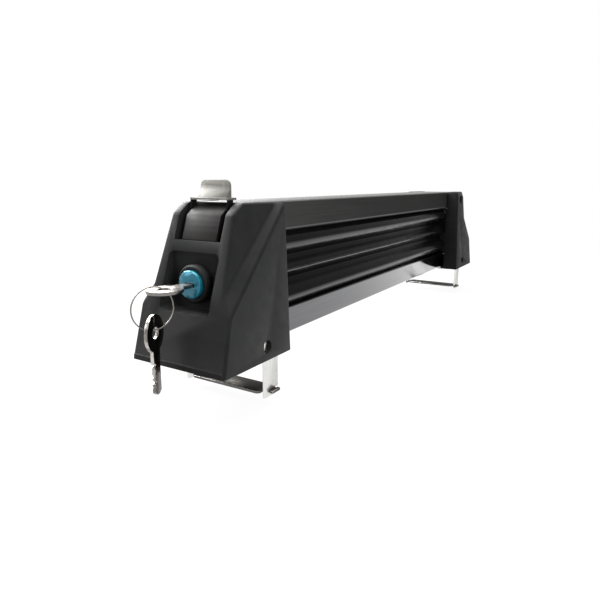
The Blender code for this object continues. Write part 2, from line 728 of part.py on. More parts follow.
def pad_section(height):
    """Outline and bore of a pad drawn upwards from the rail's slot: foot, neck, bulge, waist and lip."""
    foot_half = CHANNEL_HALF - SLIDE_GAP
    neck_half = SLOT_HALF - SLIDE_GAP
    foot_low = -RAIL_WALL - CHANNEL_DEPTH + SLIDE_GAP
    foot_high = -RAIL_WALL - SLIDE_GAP
    side = [(foot_half, foot_low), (foot_half, foot_high), (neck_half, foot_high), (neck_half, GAP)]
    samples = 14
    for index in range(samples + 1):
        share = index / samples
        swell = math.cos(2.0 * math.pi * (share - PAD_BULGE_AT) / PAD_PERIOD)
        side.append((PAD_MEAN_HALF + PAD_WAVE * swell, GAP + (height - GAP * 2) * share))
    side.append((PAD_MEAN_HALF - PAD_WAVE, height - GAP / 2))
    outer = side + [(-y, z) for y, z in reversed(side)]
    middle = height / 2
    half_height = height / 2 - PAD_WAVE * 1.6
    bore = [(y * PAD_BORE_WIDTH, middle + z * half_height) for y, z in circle((0.0, 0.0), 1.0, 18)]
    return [outer, bore]


def pads(root, arm):
    """The lower pad and, turned over above it, the arm's pad."""
    start = INNER_U + GAP
    end = SEAT_SPAN - start
    lower = pad_section(PADS_MEET - RAIL_TOP)
    lower = [[(y, RAIL_TOP + z) for y, z in loop] for loop in lower]
    piece("lower_pad", along_x(lower, start, end), black_rubber("lower_pad"), root, LOCK_END)
    upper = pad_section(ARM_BASE - PADS_MEET)
    upper = [[(-y, ARM_BASE - z) for y, z in loop] for loop in upper]
    piece("arm_pad", along_x(upper, start, end), black_rubber("arm_pad"), arm, LOCK_END)


def chamber_outline(gap):
    """The bore of the arm's tube, drawn smaller by a gap, for what plugs into it."""
    bore = rail_section(ARM_BASE, ARM_HEIGHT, -1.0)[1]
    ys = [y for y, z in bore]
    zs = [z for y, z in bore]
    return rectangle((min(ys) + gap, min(zs) + gap), (max(ys) - gap, max(zs) - gap))


def arm_end_cap(holder):
    """The plastic cap in the arm's lock end."""
    face = rounded((-RAIL_HALF, ARM_BASE), (RAIL_HALF, ARM_TOP), RAIL_CORNER)
    cap = piece(
        "arm_end_cap",
        along_x([face], ARM_END_U, ARM_END_U + END_CAP_THICKNESS),
        black_plastic("arm_end_cap"),
        holder,
        LOCK_END,
    )
    start = ARM_END_U + END_CAP_THICKNESS / 2
    plug = along_x([chamber_outline(SLIDE_GAP)], start, ARM_TUBE_U + END_PLUG_LENGTH)
    join(cap, plug, "plug")


def arm_striker(holder):
    """The bent steel strip under the arm whose window the lock's cam enters."""
    foot_high = ARM_BASE - GAP
    foot_low = foot_high - STRIKER_SHEET
    outline = [
        (STRIKER_SIDE, STRIKER_LOW),
        (STRIKER_SIDE + STRIKER_SHEET, STRIKER_LOW),
        (STRIKER_SIDE + STRIKER_SHEET, foot_high),
        (-STRIKER_SIDE - STRIKER_SHEET, foot_high),
        (-STRIKER_SIDE - STRIKER_SHEET, foot_low),
        (STRIKER_SIDE, foot_low),
    ]
    strip = piece(
        "arm_striker",
        along_x([outline], STRIKER_LOW_U, STRIKER_LOW_U + STRIKER_FOOT_LENGTH),
        steel("arm_striker"),
        holder,
        LOCK_END,
    )
    trim = block(
        (STRIKER_HIGH_U, STRIKER_SIDE - PAST, STRIKER_LOW - PAST),
        (STRIKER_LOW_U + STRIKER_FOOT_LENGTH + PAST, STRIKER_SIDE + PAST, foot_low - STRIKER_SHEET),
    )
    cut(strip, trim, "leg_trim")
    window = rounded(
        (STRIKER_LOW_U + STRIKER_LIGAMENT, LOCK_HEIGHT - STRIKER_WINDOW_BELOW),
        (STRIKER_HIGH_U - STRIKER_LIGAMENT, LOCK_HEIGHT + STRIKER_WINDOW_ABOVE),
        STRIKER_LIGAMENT / 2,
    )
    cut(strip, along_y([window], STRIKER_SIDE - PAST, STRIKER_SIDE + PAST), "window")
    for index, u in enumerate(striker_screw_places()):
        hole = circle((u, 0.0), SCREW_RADIUS + GAP, 12)
        cut(strip, along_z([hole], foot_low - PAST / 2, foot_high + PAST / 2), "screw_hole_" + str(index))


def striker_screw_places():
    """Where along the arm the striker's two screws stand."""
    half = STRIKER_SCREW_PITCH / 2
    return [T_NUT_MIDDLE_U - half, T_NUT_MIDDLE_U + half]


def striker_t_nut(holder):
    """The flat nut in the arm's channel that the striker's screws pull on."""
    half = CHANNEL_HALF - SLIDE_GAP
    low = ARM_BASE + RAIL_WALL + SLIDE_GAP
    outline = rectangle((T_NUT_MIDDLE_U - T_NUT_LENGTH / 2, -half), (T_NUT_MIDDLE_U + T_NUT_LENGTH / 2, half))
    holes = [circle((u, 0.0), SCREW_RADIUS + GAP, 12) for u in striker_screw_places()]
    bm = along_z([outline] + holes, low, CHANNEL_FLOOR_Z - SLIDE_GAP)
    piece("striker_t_nut", bm, steel("striker_t_nut"), holder, LOCK_END)


def headed_screw(head_low, head_high, reach, place):
    """A screw that points up, its head between two heights."""
    rise = head_high - head_low
    wide = SCREW_HEAD_RADIUS
    profile = [(0.0, 0.0), (0.0, wide * 0.8), (rise / 2, wide), (rise, wide)]
    profile += [(rise, SCREW_RADIUS), (reach - head_low, SCREW_RADIUS), (reach - head_low, 0.0)]
    return turned(profile, (*place, head_low), (0.0, 0.0, 1.0), 12)


def striker_screws(holder):
    """The two screws up through the striker's foot."""
    seat = ARM_BASE - STRIKER_SHEET - GAP * 2
    for index, u in enumerate(striker_screw_places()):
        name = "striker_screw_" + str(index + 1)
        bm = headed_screw(seat - SCREW_HEAD_THICKNESS, seat, CHANNEL_FLOOR_Z - SLIDE_GAP, (u, 0.0))
        piece(name, bm, steel(name), holder, LOCK_END)


def knuckle_screws(holder):
    """The two screws in the arm's channel that hold the knuckle's tongue."""
    seat = CHANNEL_FLOOR_Z - GAP
    for index, side in enumerate((-1.0, 1.0)):
        name = "knuckle_screw_" + str(index + 1)
        place = (KNUCKLE_SCREW_U, side * KNUCKLE_SCREW_Y)
        reach = seat + RAIL_WALL + SCREW_REACH
        bm = headed_screw(seat - SCREW_HEAD_THICKNESS, seat, reach, place)
        piece(name, bm, steel(name), holder, HINGE_END)


def hinge_knuckle(holder):
    """The cast end of the arm that turns on the hinge pin, with its tongue in the arm's tube."""
    end = HINGE_U + KNUCKLE_LENGTH
    nose = arc((HINGE_U, HINGE_Z), KNUCKLE_RADIUS, 90.0, 270.0, 14)
    outline = nose + [(end, HINGE_Z - KNUCKLE_RADIUS), (end, HINGE_Z + KNUCKLE_RADIUS)]
    knuckle = piece(
        "hinge_knuckle",
        along_y([outline], -RAIL_HALF, RAIL_HALF),
        finish("hinge_knuckle", (0.05, 0.05, 0.052), 0.45, 0.6),
        holder,
        HINGE_END,
    )
    tongue = along_x([chamber_outline(SLIDE_GAP)], end - KNUCKLE_LENGTH / 3, end + KNUCKLE_TONGUE)
    join(knuckle, tongue, "tongue")
    bore = circle((HINGE_U, HINGE_Z), HINGE_PIN_RADIUS + GAP, 20)
    cut(knuckle, along_y([bore], -BASE_HALF, BASE_HALF), "pin_bore")
    for side in (-1.0, 1.0):
        hole = circle((KNUCKLE_SCREW_U, side * KNUCKLE_SCREW_Y), SCREW_RADIUS + GAP, 12)
        bore = along_z([hole], CHANNEL_FLOOR_Z, CHANNEL_FLOOR_Z + RAIL_WALL + SCREW_REACH + GAP * 3)
        cut(knuckle, bore, "screw_hole_" + str(int(side)))


def hinge_pin(holder):
    """The cross pin the arm swings on, with a head on both sides."""
    seat = hinge_seat_half() + GAP
    end = seat + HINGE_HEAD_THICKNESS
    dome = HINGE_HEAD_RADIUS * 0.75
    profile = [(-end, 0.0), (-end, dome), (-seat - HINGE_HEAD_THICKNESS / 2, HINGE_HEAD_RADIUS)]
    profile += [(-seat, HINGE_HEAD_RADIUS), (-seat, HINGE_PIN_RADIUS)]
    profile += [(-run, radius) for run, radius in reversed(profile)]
    bm = turned(profile, (HINGE_U, 0.0, HINGE_Z), (0.0, 1.0, 0.0))
    piece("hinge_pin", bm, steel("hinge_pin"), holder, HINGE_END)


def latch_block(holder):
    """The grey block in the tower's notch that the latch straddles and turns on."""
    foot_front = CAVITY_FRONT_U + GAP
    step = NOTCH_FLOOR + SLIDE_GAP
    bevel = FRONT_BEVEL[1] - LATCH_BLOCK_SETBACK / 2
    back = foot_front + LATCH_BLOCK_DEPTH
    rise = LATCH_BLOCK_TOP - bevel
    outline = [
        (foot_front, NOTCH_FLOOR - LATCH_BLOCK_FOOT),
        (foot_front, step),
        (min(front_u(step) + LATCH_BLOCK_SETBACK, foot_front), step),
        (front_u(bevel) + LATCH_BLOCK_SETBACK, bevel),
        (front_u(bevel) + LATCH_BLOCK_SETBACK + rise * TOP_BEVEL_DEPTH / TOP_BEVEL_HEIGHT, LATCH_BLOCK_TOP),
        (back, LATCH_BLOCK_TOP),
        (back, NOTCH_FLOOR - LATCH_BLOCK_FOOT),
    ]
    body = along_y([outline], -LATCH_BLOCK_HALF, LATCH_BLOCK_HALF)
    made = finish("latch_block", (0.05, 0.05, 0.05), 0.6)
    body_piece = piece("latch_block", body, made, holder, LOCK_END)
    bore = circle((LATCH_PIVOT_U, LATCH_PIVOT_Z), LATCH_PIN_RADIUS + GAP, 16)
    cut(body_piece, along_y([bore], -BASE_HALF, BASE_HALF), "pin_bore")
    reach = SPRING_RADIUS + SPRING_WIRE + GAP * 3
    hollow = block(
        (LATCH_PIVOT_U - reach, -SPRING_POCKET_HALF, LATCH_PIVOT_Z - reach),
        (back + PAST, SPRING_POCKET_HALF, LATCH_PIVOT_Z + reach),
    )
    cut(body_piece, hollow, "spring_pocket")


def latch_pin(holder):
    """The headed pin through the block and both legs of the latch."""
    seat = LATCH_OUT_HALF + GAP
    end = seat + LATCH_SHEET
    profile = [(-end, 0.0), (-end, LATCH_PIN_HEAD), (-seat, LATCH_PIN_HEAD), (-seat, LATCH_PIN_RADIUS)]
    profile += [(-run, radius) for run, radius in reversed(profile)]
    bm = turned(profile, (LATCH_PIVOT_U, 0.0, LATCH_PIVOT_Z), (0.0, 1.0, 0.0), 16)
    piece("latch_pin", bm, steel("latch_pin"), holder, LOCK_END)


def spring_points():
    """Points of the torsion spring: curls round the pin, and a straight end each way."""
    curls = SPRING_TURNS * SPRING_POINTS
    half = SPRING_TURNS * SPRING_PITCH / 2
    points = []
    for index in range(curls + 1):
        angle = 2.0 * math.pi * index / SPRING_POINTS
        across = -half + SPRING_PITCH * index / SPRING_POINTS
        points.append(
            Vector(
                (
                    LATCH_PIVOT_U + SPRING_RADIUS * math.cos(angle),
                    across,
                    LATCH_PIVOT_Z + SPRING_RADIUS * math.sin(angle),
                )
            )
        )
    tail = SPRING_RADIUS
    first = points[0] - Vector((0.0, 0.0, tail))
    last = points[-1] + Vector((0.0, 0.0, tail))
    return [first] + points + [last]


def least_self_gap(points, wire):
    """Smallest clear distance between stretches of a wound wire that aren't neighbours."""
    least = math.inf
    for index, point in enumerate(points):
        for other in points[index + SPRING_POINTS // 2:]:
            least = min(least, (point - other).length - 2.0 * wire)
    return least


def latch_spring(holder):
    """The latch's return spring, one unbroken tube round the pin."""
    points = spring_points()
    print("latch spring least gap to itself, mm:", round(least_self_gap(points, SPRING_WIRE) * 1000.0, 3))
    curve = bpy.data.curves.new("latch_spring", "CURVE")
    curve.dimensions = "3D"
    curve.bevel_depth = SPRING_WIRE
    curve.bevel_resolution = 1
    curve.use_fill_caps = True
    spline = curve.splines.new("POLY")
    spline.points.add(len(points) - 1)
    for slot, point in zip(spline.points, points):
        slot.co = (*point, 1.0)
    curve.materials.append(steel("latch_spring"))
    obj = bpy.data.objects.new("latch_spring", curve)
    bpy.context.scene.collection.objects.link(obj)
    attach(obj, holder, LOCK_END)


def latch_hook(holder):
    """The bent steel catch: two legs in the slots, a plate over the block and the finger tab."""
    plate_high = LATCH_PLATE_Z + LATCH_SHEET
    plate = block(
        (LATCH_PLATE_LOW_U, -LATCH_OUT_HALF, LATCH_PLATE_Z), (LATCH_PLATE_HIGH_U, LATCH_OUT_HALF, plate_high)
    )
    hook = piece("latch_hook", plate, steel("latch_hook"), holder, LOCK_END)
    lean_low = LATCH_PLATE_LOW_U + GAP
    lean_high = lean_low + LATCH_LEG_WIDTH
    leg_top = LATCH_PLATE_Z + LATCH_SHEET / 2
    centre = (LATCH_PIVOT_U, LATCH_PIVOT_Z)
    eye = arc(centre, LATCH_EYE_RADIUS, 200.0, 340.0, 8)
    leg = eye + [(lean_high, leg_top), (lean_low, leg_top)]
    hole = circle(centre, LATCH_PIN_RADIUS + GAP, 16)
    for side in (-1.0, 1.0):
        reach = sorted((side * (LATCH_OUT_HALF - LATCH_SHEET), side * (LATCH_OUT_HALF - GAP / 3)))
        join(hook, along_y([leg, hole], *reach), "leg_" + str(int(side)))
    low = LATCH_PLATE_Z + LATCH_SHEET / 2
    tab = [(TAB_HALF, low)]
    tab += arc((TAB_HALF - TAB_CORNER, TAB_TOP - TAB_CORNER), TAB_CORNER, 0.0, 90.0, 5)
    tab += [(-y, z) for y, z in reversed(tab)]
    face = LATCH_PLATE_HIGH_U - LATCH_SHEET
    join(hook, along_x([tab], face, LATCH_PLATE_HIGH_U - GAP / 3), "finger_tab")
    inside = face + LATCH_SHEET / 2
    crease = plate_high + TAB_FOLD_RISE
    fold = [(inside, low), (face - TAB_FOLD_REACH, low), (face - TAB_FOLD_REACH, plate_high + GAP)]
    fold += [(face, crease), (inside, crease)]
    join(hook, along_y([fold], -TAB_HALF + GAP, TAB_HALF - GAP), "fold")


def lock_barrel(holder):
    """The round boss in the pocket and the tube behind it, bored for the plug."""
    counter = CAP_RADIUS + GAP
    depth = CAP_THICKNESS - (BOSS_FACE_U - CAP_FACE_U) + GAP
    bore = PLUG_RADIUS + GAP
    rim = EDGE_ROUND
    profile = [(0.0, counter), (0.0, BOSS_RADIUS - rim), (rim, BOSS_RADIUS), (BOSS_LENGTH, BOSS_RADIUS)]
    profile += [(BOSS_LENGTH, BARREL_RADIUS), (BARREL_LENGTH, BARREL_RADIUS), (BARREL_LENGTH, bore)]
    profile += [(depth, bore), (depth, counter)]
    bm = turned(profile, (BOSS_FACE_U, 0.0, LOCK_HEIGHT), (1.0, 0.0, 0.0), 28)
    piece("lock_barrel", bm, black_plastic("lock_barrel"), holder, LOCK_END)


def lock_nut(holder):
    """The flat six-sided nut that holds the barrel behind the pocket."""
    start = CAVITY_FRONT_U + GAP
    centre = (0.0, LOCK_HEIGHT)
    loops = [circle(centre, LOCK_NUT_RADIUS, 6), circle(centre, BARREL_RADIUS + GAP, 24)]
    bm = along_x(loops, start, start + LOCK_NUT_THICKNESS)
    piece("lock_nut", bm, steel("lock_nut"), holder, LOCK_END)


def lock_plug(holder):
    """The turning plug: blue face, shank with its keyway, and the tail that carries the cam."""
    shank = CAP_THICKNESS
    end = BARREL_END_U - CAP_FACE_U
    tail = TAIL_END_U - CAP_FACE_U
    screw = CAM_SCREW_RADIUS + GAP
    rim = EDGE_ROUND / 2
    profile = [(0.0, 0.0), (0.0, CAP_RADIUS - rim), (rim, CAP_RADIUS), (shank, CAP_RADIUS)]
    profile += [(shank, PLUG_RADIUS), (end, PLUG_RADIUS), (end, TAIL_RADIUS), (tail, TAIL_RADIUS)]
    profile += [(tail, screw), (tail - TAIL_LENGTH * 0.7, screw), (tail - TAIL_LENGTH * 0.7, 0.0)]
    bm = turned(profile, (CAP_FACE_U, 0.0, LOCK_HEIGHT), (1.0, 0.0, 0.0), 28)
    plug = piece("lock_plug", bm, finish("lock_plug", (0.02, 0.28, 0.46), 0.3), holder, LOCK_END)
    half = KEY_THICKNESS / 2 + GAP
    keyway = block(
        (CAP_FACE_U - PAST, -KEY_BLADE_HALF - GAP, LOCK_HEIGHT - half),
        (CAP_FACE_U + KEY_INSERTED + GAP, KEY_BLADE_HALF + GAP, LOCK_HEIGHT + half),
    )
    cut(plug, keyway, "keyway")


def lock_cam(holder):
    """The cam arm on the plug's tail; it points up when unlocked."""
    centre = (0.0, LOCK_HEIGHT)
    outline = arc(centre, CAM_HALF_WIDTH, 180.0, 360.0, 8)
    outline += arc((0.0, LOCK_HEIGHT + CAM_REACH - CAM_HALF_WIDTH), CAM_HALF_WIDTH, 0.0, 180.0, 8)
    loops = [outline, circle(centre, CAM_SCREW_RADIUS + GAP, 12)]
    piece("lock_cam", along_x(loops, CAM_LOW_U, CAM_HIGH_U), steel("lock_cam"), holder, LOCK_END)


def cam_screw(holder):
    """The screw that holds the cam to the plug's tail."""
    start = TAIL_END_U - TAIL_LENGTH * 0.6
    seat = CAM_HIGH_U + GAP - start
    end = seat + CAM_SCREW_RADIUS * 1.2
    profile = [(0.0, 0.0), (0.0, CAM_SCREW_RADIUS), (seat, CAM_SCREW_RADIUS), (seat, CAM_SCREW_RADIUS * 1.9)]
    profile += [(end, CAM_SCREW_RADIUS * 1.9), (end, 0.0)]
    bm = turned(profile, (start, 0.0, LOCK_HEIGHT), (1.0, 0.0, 0.0), 12)
    piece("cam_screw", bm, steel("cam_screw"), holder, LOCK_END)


def key_outline():
    """A key's outline and ring hole, from its tip (0, 0) along the first axis to the bow's end."""
    edge = -KEY_BLADE_HALF
    outline = [(0.0, edge / 3), (KEY_BLADE_HALF / 2, edge)]
    start = KEY_BLADE_HALF
    for index in range(KEY_TEETH):
        depth = KEY_BLADE_HALF * (KEY_TOOTH_LEAST + KEY_TOOTH_STEP * ((2 * index) % 3))
        first = start + index * KEY_TOOTH_PITCH
        outline += [(first, edge), (first + KEY_TOOTH_PITCH * 0.3, edge + depth)]
        outline += [(first + KEY_TOOTH_PITCH * 0.5, edge + depth), (first + KEY_TOOTH_PITCH * 0.8, edge)]
    outline += [(KEY_INSERTED + GAP * 6, edge), (KEY_INSERTED + GAP * 6, -KEY_NECK_HALF)]
    length = KEY_BOW_LENGTH / 2
    width = KEY_BOW_WIDTH / 2
    middle = KEY_LENGTH - length
    joined = math.degrees(math.asin(KEY_NECK_HALF / width))
    for run, across in arc((0.0, 0.0), 1.0, -180.0 + joined, 180.0 - joined, 22):
        outline.append((middle + length * run, width * across))
    outline += [(KEY_INSERTED + GAP * 6, KEY_NECK_HALF), (KEY_INSERTED + GAP * 6, KEY_BLADE_HALF)]
    outline += [(KEY_BLADE_HALF / 2, KEY_BLADE_HALF), (0.0, KEY_BLADE_HALF / 3)]
    return [outline, circle((key_hole_run(), 0.0), KEY_HOLE_RADIUS, 16)]


def key_hole_run():
    """Distance of the ring hole's middle from the key's tip."""
    return KEY_LENGTH - KEY_RIM - KEY_HOLE_RADIUS


def key_solid():
    """A key lying flat, its tip at the origin."""
    half = KEY_THICKNESS / 2
    return along_z(key_outline(), -half, half)


def key_hole_place():
    """Middle of the ring hole of the key in the lock."""
    tip = CAP_FACE_U + KEY_INSERTED
    return Vector((tip - key_hole_run(), 0.0, LOCK_HEIGHT))


def ring_direction():
    """Level direction along the ring's plane, from the bow's edge in to its hole."""
    return Vector((math.cos(RING_YAW), math.sin(RING_YAW), 0.0))


def ring_top():
    """Middle of the ring's wire over the bow's rim, where the ring hangs with its wire mid-hole."""
    depth = RING_LIFT + RING_WIRE + KEY_THICKNESS / 2
    reach = math.sqrt(2.0 * RING_RADIUS * depth - depth * depth)
    over = key_hole_place() - ring_direction() * reach
    return over + Vector((0.0, 0.0, depth))


def ring_bottom():
    return ring_top() - Vector((0.0, 0.0, 2.0 * RING_RADIUS))


def key(holder):
    """The key in the lock, lying level, its bow towards the user."""
    bm = key_solid()
    tip = CAP_FACE_U + KEY_INSERTED
    turn = Matrix.Translation((tip, 0.0, LOCK_HEIGHT)) @ Matrix.Rotation(math.pi, 4, "Z")
    bmesh.ops.transform(bm, matrix=turn, verts=bm.verts)
    piece("key", bm, steel("key"), holder, LOCK_END)


def key_ring(holder):
    """The wire ring through the bow, hanging upright."""
    centre = ring_top() - Vector((0.0, 0.0, RING_RADIUS))
    bm = bmesh.new()
    section = [Vector((RING_RADIUS + y, 0.0, z)) for y, z in circle((0.0, 0.0), RING_WIRE, 8)]
    edges = loop_edges(bm, section)
    bmesh.ops.spin(
        bm,
        geom=bm.verts[:] + edges,
        cent=(0.0, 0.0, 0.0),
        axis=(0.0, 0.0, 1.0),
        angle=2.0 * math.pi,
        steps=36,
        use_merge=True,
    )
    bmesh.ops.remove_doubles(bm, verts=bm.verts, dist=1e-6)
    upright = Matrix.Rotation(RING_YAW, 4, "Z") @ Matrix.Rotation(math.pi / 2, 4, "X")
    bmesh.ops.transform(bm, matrix=Matrix.Translation(centre) @ upright, verts=bm.verts)
    piece("key_ring", bm, steel("key_ring"), holder, LOCK_END)


def spare_key(holder):
    """The second key, hanging plumb from the ring by its bow."""
    bm = key_solid()
    hang = ring_bottom() - Vector((0.0, 0.0, KEY_HOLE_RADIUS - RING_WIRE - GAP * 3))
    upright = Matrix.Rotation(-math.pi / 2, 4, "Y")
    flat_on = Matrix.Rotation(RING_YAW + SPARE_YAW, 4, "Z")
    lift = Matrix.Translation(hang - Vector((0.0, 0.0, key_hole_run())))
    bmesh.ops.transform(bm, matrix=lift @ flat_on @ upright, verts=bm.verts)
    piece("spare_key", bm, steel("spare_key"), holder, LOCK_END)


def strap_section():
    """The strap's bent outline in (y, z): two legs and the web over them, with round bends."""
    points = []
    for half, top, bend in (
        (STRAP_HALF, STRAP_WEB_TOP, STRAP_BEND),
        (STRAP_HALF - STRAP_SHEET, STRAP_WEB_TOP - STRAP_SHEET, STRAP_BEND - STRAP_SHEET),
    ):
        side = [(half, STRAP_LOW_Z)] + arc((half - bend, top - bend), bend, 0.0, 90.0, 5)
        path = side + [(-y, z) for y, z in reversed(side)]
        points += path if not points else list(reversed(path))
    return points


def clamp_strap(name, holder, frame):
    """The steel strap over the bar: a bolt hole in its web and a side notch in each leg."""
    low = STRAP_U - STRAP_WIDTH / 2
    high = STRAP_U + STRAP_WIDTH / 2
    strap = piece(name, along_x([strap_section()], low, high), steel(name), holder, frame)
    hole = circle((STRAP_U, 0.0), BOLT_RADIUS + GAP)
    cut(strap, along_z([hole], STRAP_WEB_TOP - PAST, STRAP_WEB_TOP + PAST), "bolt_hole")
    notch_low = STRAP_U - PLATE_TONGUE / 2 + STRAP_WIDTH / 8 - SLIDE_GAP
    for side in (-1.0, 1.0):
        reach = sorted((side * (STRAP_HALF - STRAP_SHEET - PAST), side * (STRAP_HALF + PAST)))
        notch = rectangle((notch_low, PLATE_LOW_Z - GAP), (high + PAST, PLATE_HIGH_Z + SLIDE_GAP))
        cut(strap, along_y([notch], *reach), "notch_" + str(int(side)))


def clamp_plate(name, holder, frame):
    """The plate under the bar; its tongues lie in the straps' notches and end in T heads."""
    middle = STRAP_U + STRAP_WIDTH / 8
    outside = STRAP_HALF + SLIDE_GAP
    end = outside + PLATE_HEAD_DEPTH
    high = STRAP_U + PLATE_WIDTH / 2
    low = STRAP_U - PLATE_WIDTH / 2
    side = [(high, 0.0), (high, PLATE_HALF - PLATE_CORNER), (high - PLATE_CORNER, PLATE_HALF)]
    side += [(middle + PLATE_TONGUE / 2, PLATE_HALF), (middle + PLATE_TONGUE / 2, outside)]
    side += [(middle + PLATE_HEAD / 2, outside), (middle + PLATE_HEAD / 2, end)]
    side += [(middle - PLATE_HEAD / 2, end), (middle - PLATE_HEAD / 2, outside)]
    side += [(middle - PLATE_TONGUE / 2, outside), (middle - PLATE_TONGUE / 2, PLATE_HALF)]
    side += [(low + PLATE_CORNER, PLATE_HALF), (low, PLATE_HALF - PLATE_CORNER), (low, 0.0)]
    outline = side[:-1] + [(u, -y) for u, y in reversed(side[1:])]
    piece(name, along_z([outline], PLATE_LOW_Z, PLATE_HIGH_Z), steel(name), holder, frame)


def clamp_nut(name, holder, frame):
    """The nut under the strap's web."""
    high = STRAP_WEB_TOP - STRAP_SHEET - GAP
    loops = [circle((STRAP_U, 0.0), NUT_RADIUS, 6), circle((STRAP_U, 0.0), BOLT_RADIUS + GAP)]
    piece(name, along_z(loops, high - NUT_HEIGHT, high), steel(name), holder, frame)


def clamp_bolt(name, holder, frame):
    """The bolt that draws the strap up, reached from the arm's channel."""
    seat = DECK_HIGH + GAP + WASHER_THICKNESS + GAP
    run = seat - BOLT_END
    top = run + BOLT_HEAD_HEIGHT
    rim = EDGE_ROUND / 2
    profile = [(0.0, 0.0), (0.0, BOLT_RADIUS), (run, BOLT_RADIUS), (run, BOLT_HEAD_RADIUS)]
    profile += [(top - rim, BOLT_HEAD_RADIUS), (top, BOLT_HEAD_RADIUS - rim), (top, 0.0)]
    bm = turned(profile, (STRAP_U, 0.0, BOLT_END), (0.0, 0.0, 1.0), 20)
    bolt = piece(name, bm, steel(name), holder, frame)
    socket = circle((STRAP_U, 0.0), BOLT_SOCKET_RADIUS, 6)
    cut(bolt, along_z([socket], BOLT_END + top - BOLT_SOCKET_DEPTH, BOLT_END + top + PAST), "socket")


def clamp_washer(name, holder, frame):
    """The washer under the bolt's head."""
    low = DECK_HIGH + GAP
    loops = [circle((STRAP_U, 0.0), WASHER_RADIUS), circle((STRAP_U, 0.0), BOLT_RADIUS + GAP)]
    piece(name, along_z(loops, low, low + WASHER_THICKNESS), steel(name), holder, frame)


def crossbar_end(end, root, frame):
    """Everything below a tower's deck: base, seat and the clamp with its bolt."""
    base_plate(end + "_base_plate", root, frame)
    base_screws(end, root, frame)
    seat_pad(end + "_seat_pad", root, frame)
    clamp_washer(end + "_clamp_washer", root, frame)
    axis = frame @ Matrix.Translation((STRAP_U, 0.0, 0.0))
    guide = pivot(end + "_clamp_guide", axis)
    clamp_strap(end + "_clamp_strap", guide, frame)
    clamp_plate(end + "_clamp_plate", guide, frame)
    clamp_nut(end + "_clamp_nut", guide, frame)
    clamp_bolt(end + "_clamp_bolt", pivot(end + "_bolt_axis", axis), frame)


def main():
    for old in list(bpy.data.objects):
        bpy.data.objects.remove(old)
    root = pivot("rack_frame", Matrix.Identity(4))
    arm = pivot("arm_pivot", HINGE_END @ Matrix.Translation((HINGE_U, 0.0, HINGE_Z)))
    lock = pivot("lock_axis", Matrix.Translation((CAP_FACE_U, 0.0, LOCK_HEIGHT)))
    lock_tower(root)
    hinge_tower(root)
    crossbar_end("lock", root, LOCK_END)
    crossbar_end("hinge", root, HINGE_END)
    lower_rail(root)
    pads(root, arm)
    arm_rail(arm)
    arm_end_cap(arm)
    arm_striker(arm)
    striker_t_nut(arm)
    striker_screws(arm)
    hinge_knuckle(arm)
    knuckle_screws(arm)
    hinge_pin(root)
    latch_block(root)
    latch_pin(root)
    latch_spring(root)
    latch_hook(pivot("latch_pivot", Matrix.Translation((LATCH_PIVOT_U, 0.0, LATCH_PIVOT_Z))))
    lock_barrel(root)
    lock_nut(root)
    lock_plug(lock)
    lock_cam(lock)
    cam_screw(lock)
    key(lock)
    key_ring(pivot("ring_pivot", Matrix.Translation(ring_top())))
    spare_key(pivot("spare_pivot", Matrix.Translation(ring_bottom())))


main()
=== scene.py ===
"""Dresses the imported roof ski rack: finishes, rubber pads, rounded shells, keys and the studio."""

from __future__ import annotations

import json
import logging
import math
from dataclasses import dataclass, field
from enum import Enum
from typing import Any, Sequence

import bmesh
import bpy
from mathutils import Matrix, Vector

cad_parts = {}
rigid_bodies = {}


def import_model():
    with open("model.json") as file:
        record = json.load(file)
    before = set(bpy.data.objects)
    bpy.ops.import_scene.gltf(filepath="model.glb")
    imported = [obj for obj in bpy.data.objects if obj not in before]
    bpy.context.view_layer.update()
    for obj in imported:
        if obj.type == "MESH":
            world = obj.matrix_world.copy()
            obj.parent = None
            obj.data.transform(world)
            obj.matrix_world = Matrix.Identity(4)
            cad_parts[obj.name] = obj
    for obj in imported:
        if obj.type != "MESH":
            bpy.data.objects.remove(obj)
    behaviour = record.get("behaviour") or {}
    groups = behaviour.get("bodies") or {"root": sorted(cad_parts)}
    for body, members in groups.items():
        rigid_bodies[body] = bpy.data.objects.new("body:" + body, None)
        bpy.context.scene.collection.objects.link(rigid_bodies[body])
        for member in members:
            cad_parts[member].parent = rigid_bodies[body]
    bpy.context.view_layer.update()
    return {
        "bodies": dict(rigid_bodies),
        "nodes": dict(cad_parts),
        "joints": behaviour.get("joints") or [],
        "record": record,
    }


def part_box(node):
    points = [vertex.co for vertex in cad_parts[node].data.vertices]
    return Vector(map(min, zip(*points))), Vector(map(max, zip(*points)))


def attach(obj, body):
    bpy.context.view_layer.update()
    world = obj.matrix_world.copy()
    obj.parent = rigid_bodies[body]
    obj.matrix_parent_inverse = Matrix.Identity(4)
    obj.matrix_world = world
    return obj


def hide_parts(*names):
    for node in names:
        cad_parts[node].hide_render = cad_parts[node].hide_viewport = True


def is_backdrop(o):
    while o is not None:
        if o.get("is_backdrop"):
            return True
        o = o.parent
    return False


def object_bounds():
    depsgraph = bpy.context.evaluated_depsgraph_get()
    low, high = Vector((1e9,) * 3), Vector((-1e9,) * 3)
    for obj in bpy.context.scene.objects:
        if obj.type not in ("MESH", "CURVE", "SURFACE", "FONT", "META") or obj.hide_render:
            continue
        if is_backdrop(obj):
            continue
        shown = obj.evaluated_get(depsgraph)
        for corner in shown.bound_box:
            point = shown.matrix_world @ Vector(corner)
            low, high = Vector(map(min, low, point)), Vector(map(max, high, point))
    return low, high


LOG = logging.getLogger("roof_ski_rack")

# Attributes that the meshes carry for their finishes: wear, and a painted sheen that sets how strongly a
# surface reflects, in place of real highlights and reflections
WORN = "worn"
PAINTED_SHEEN = "polish"

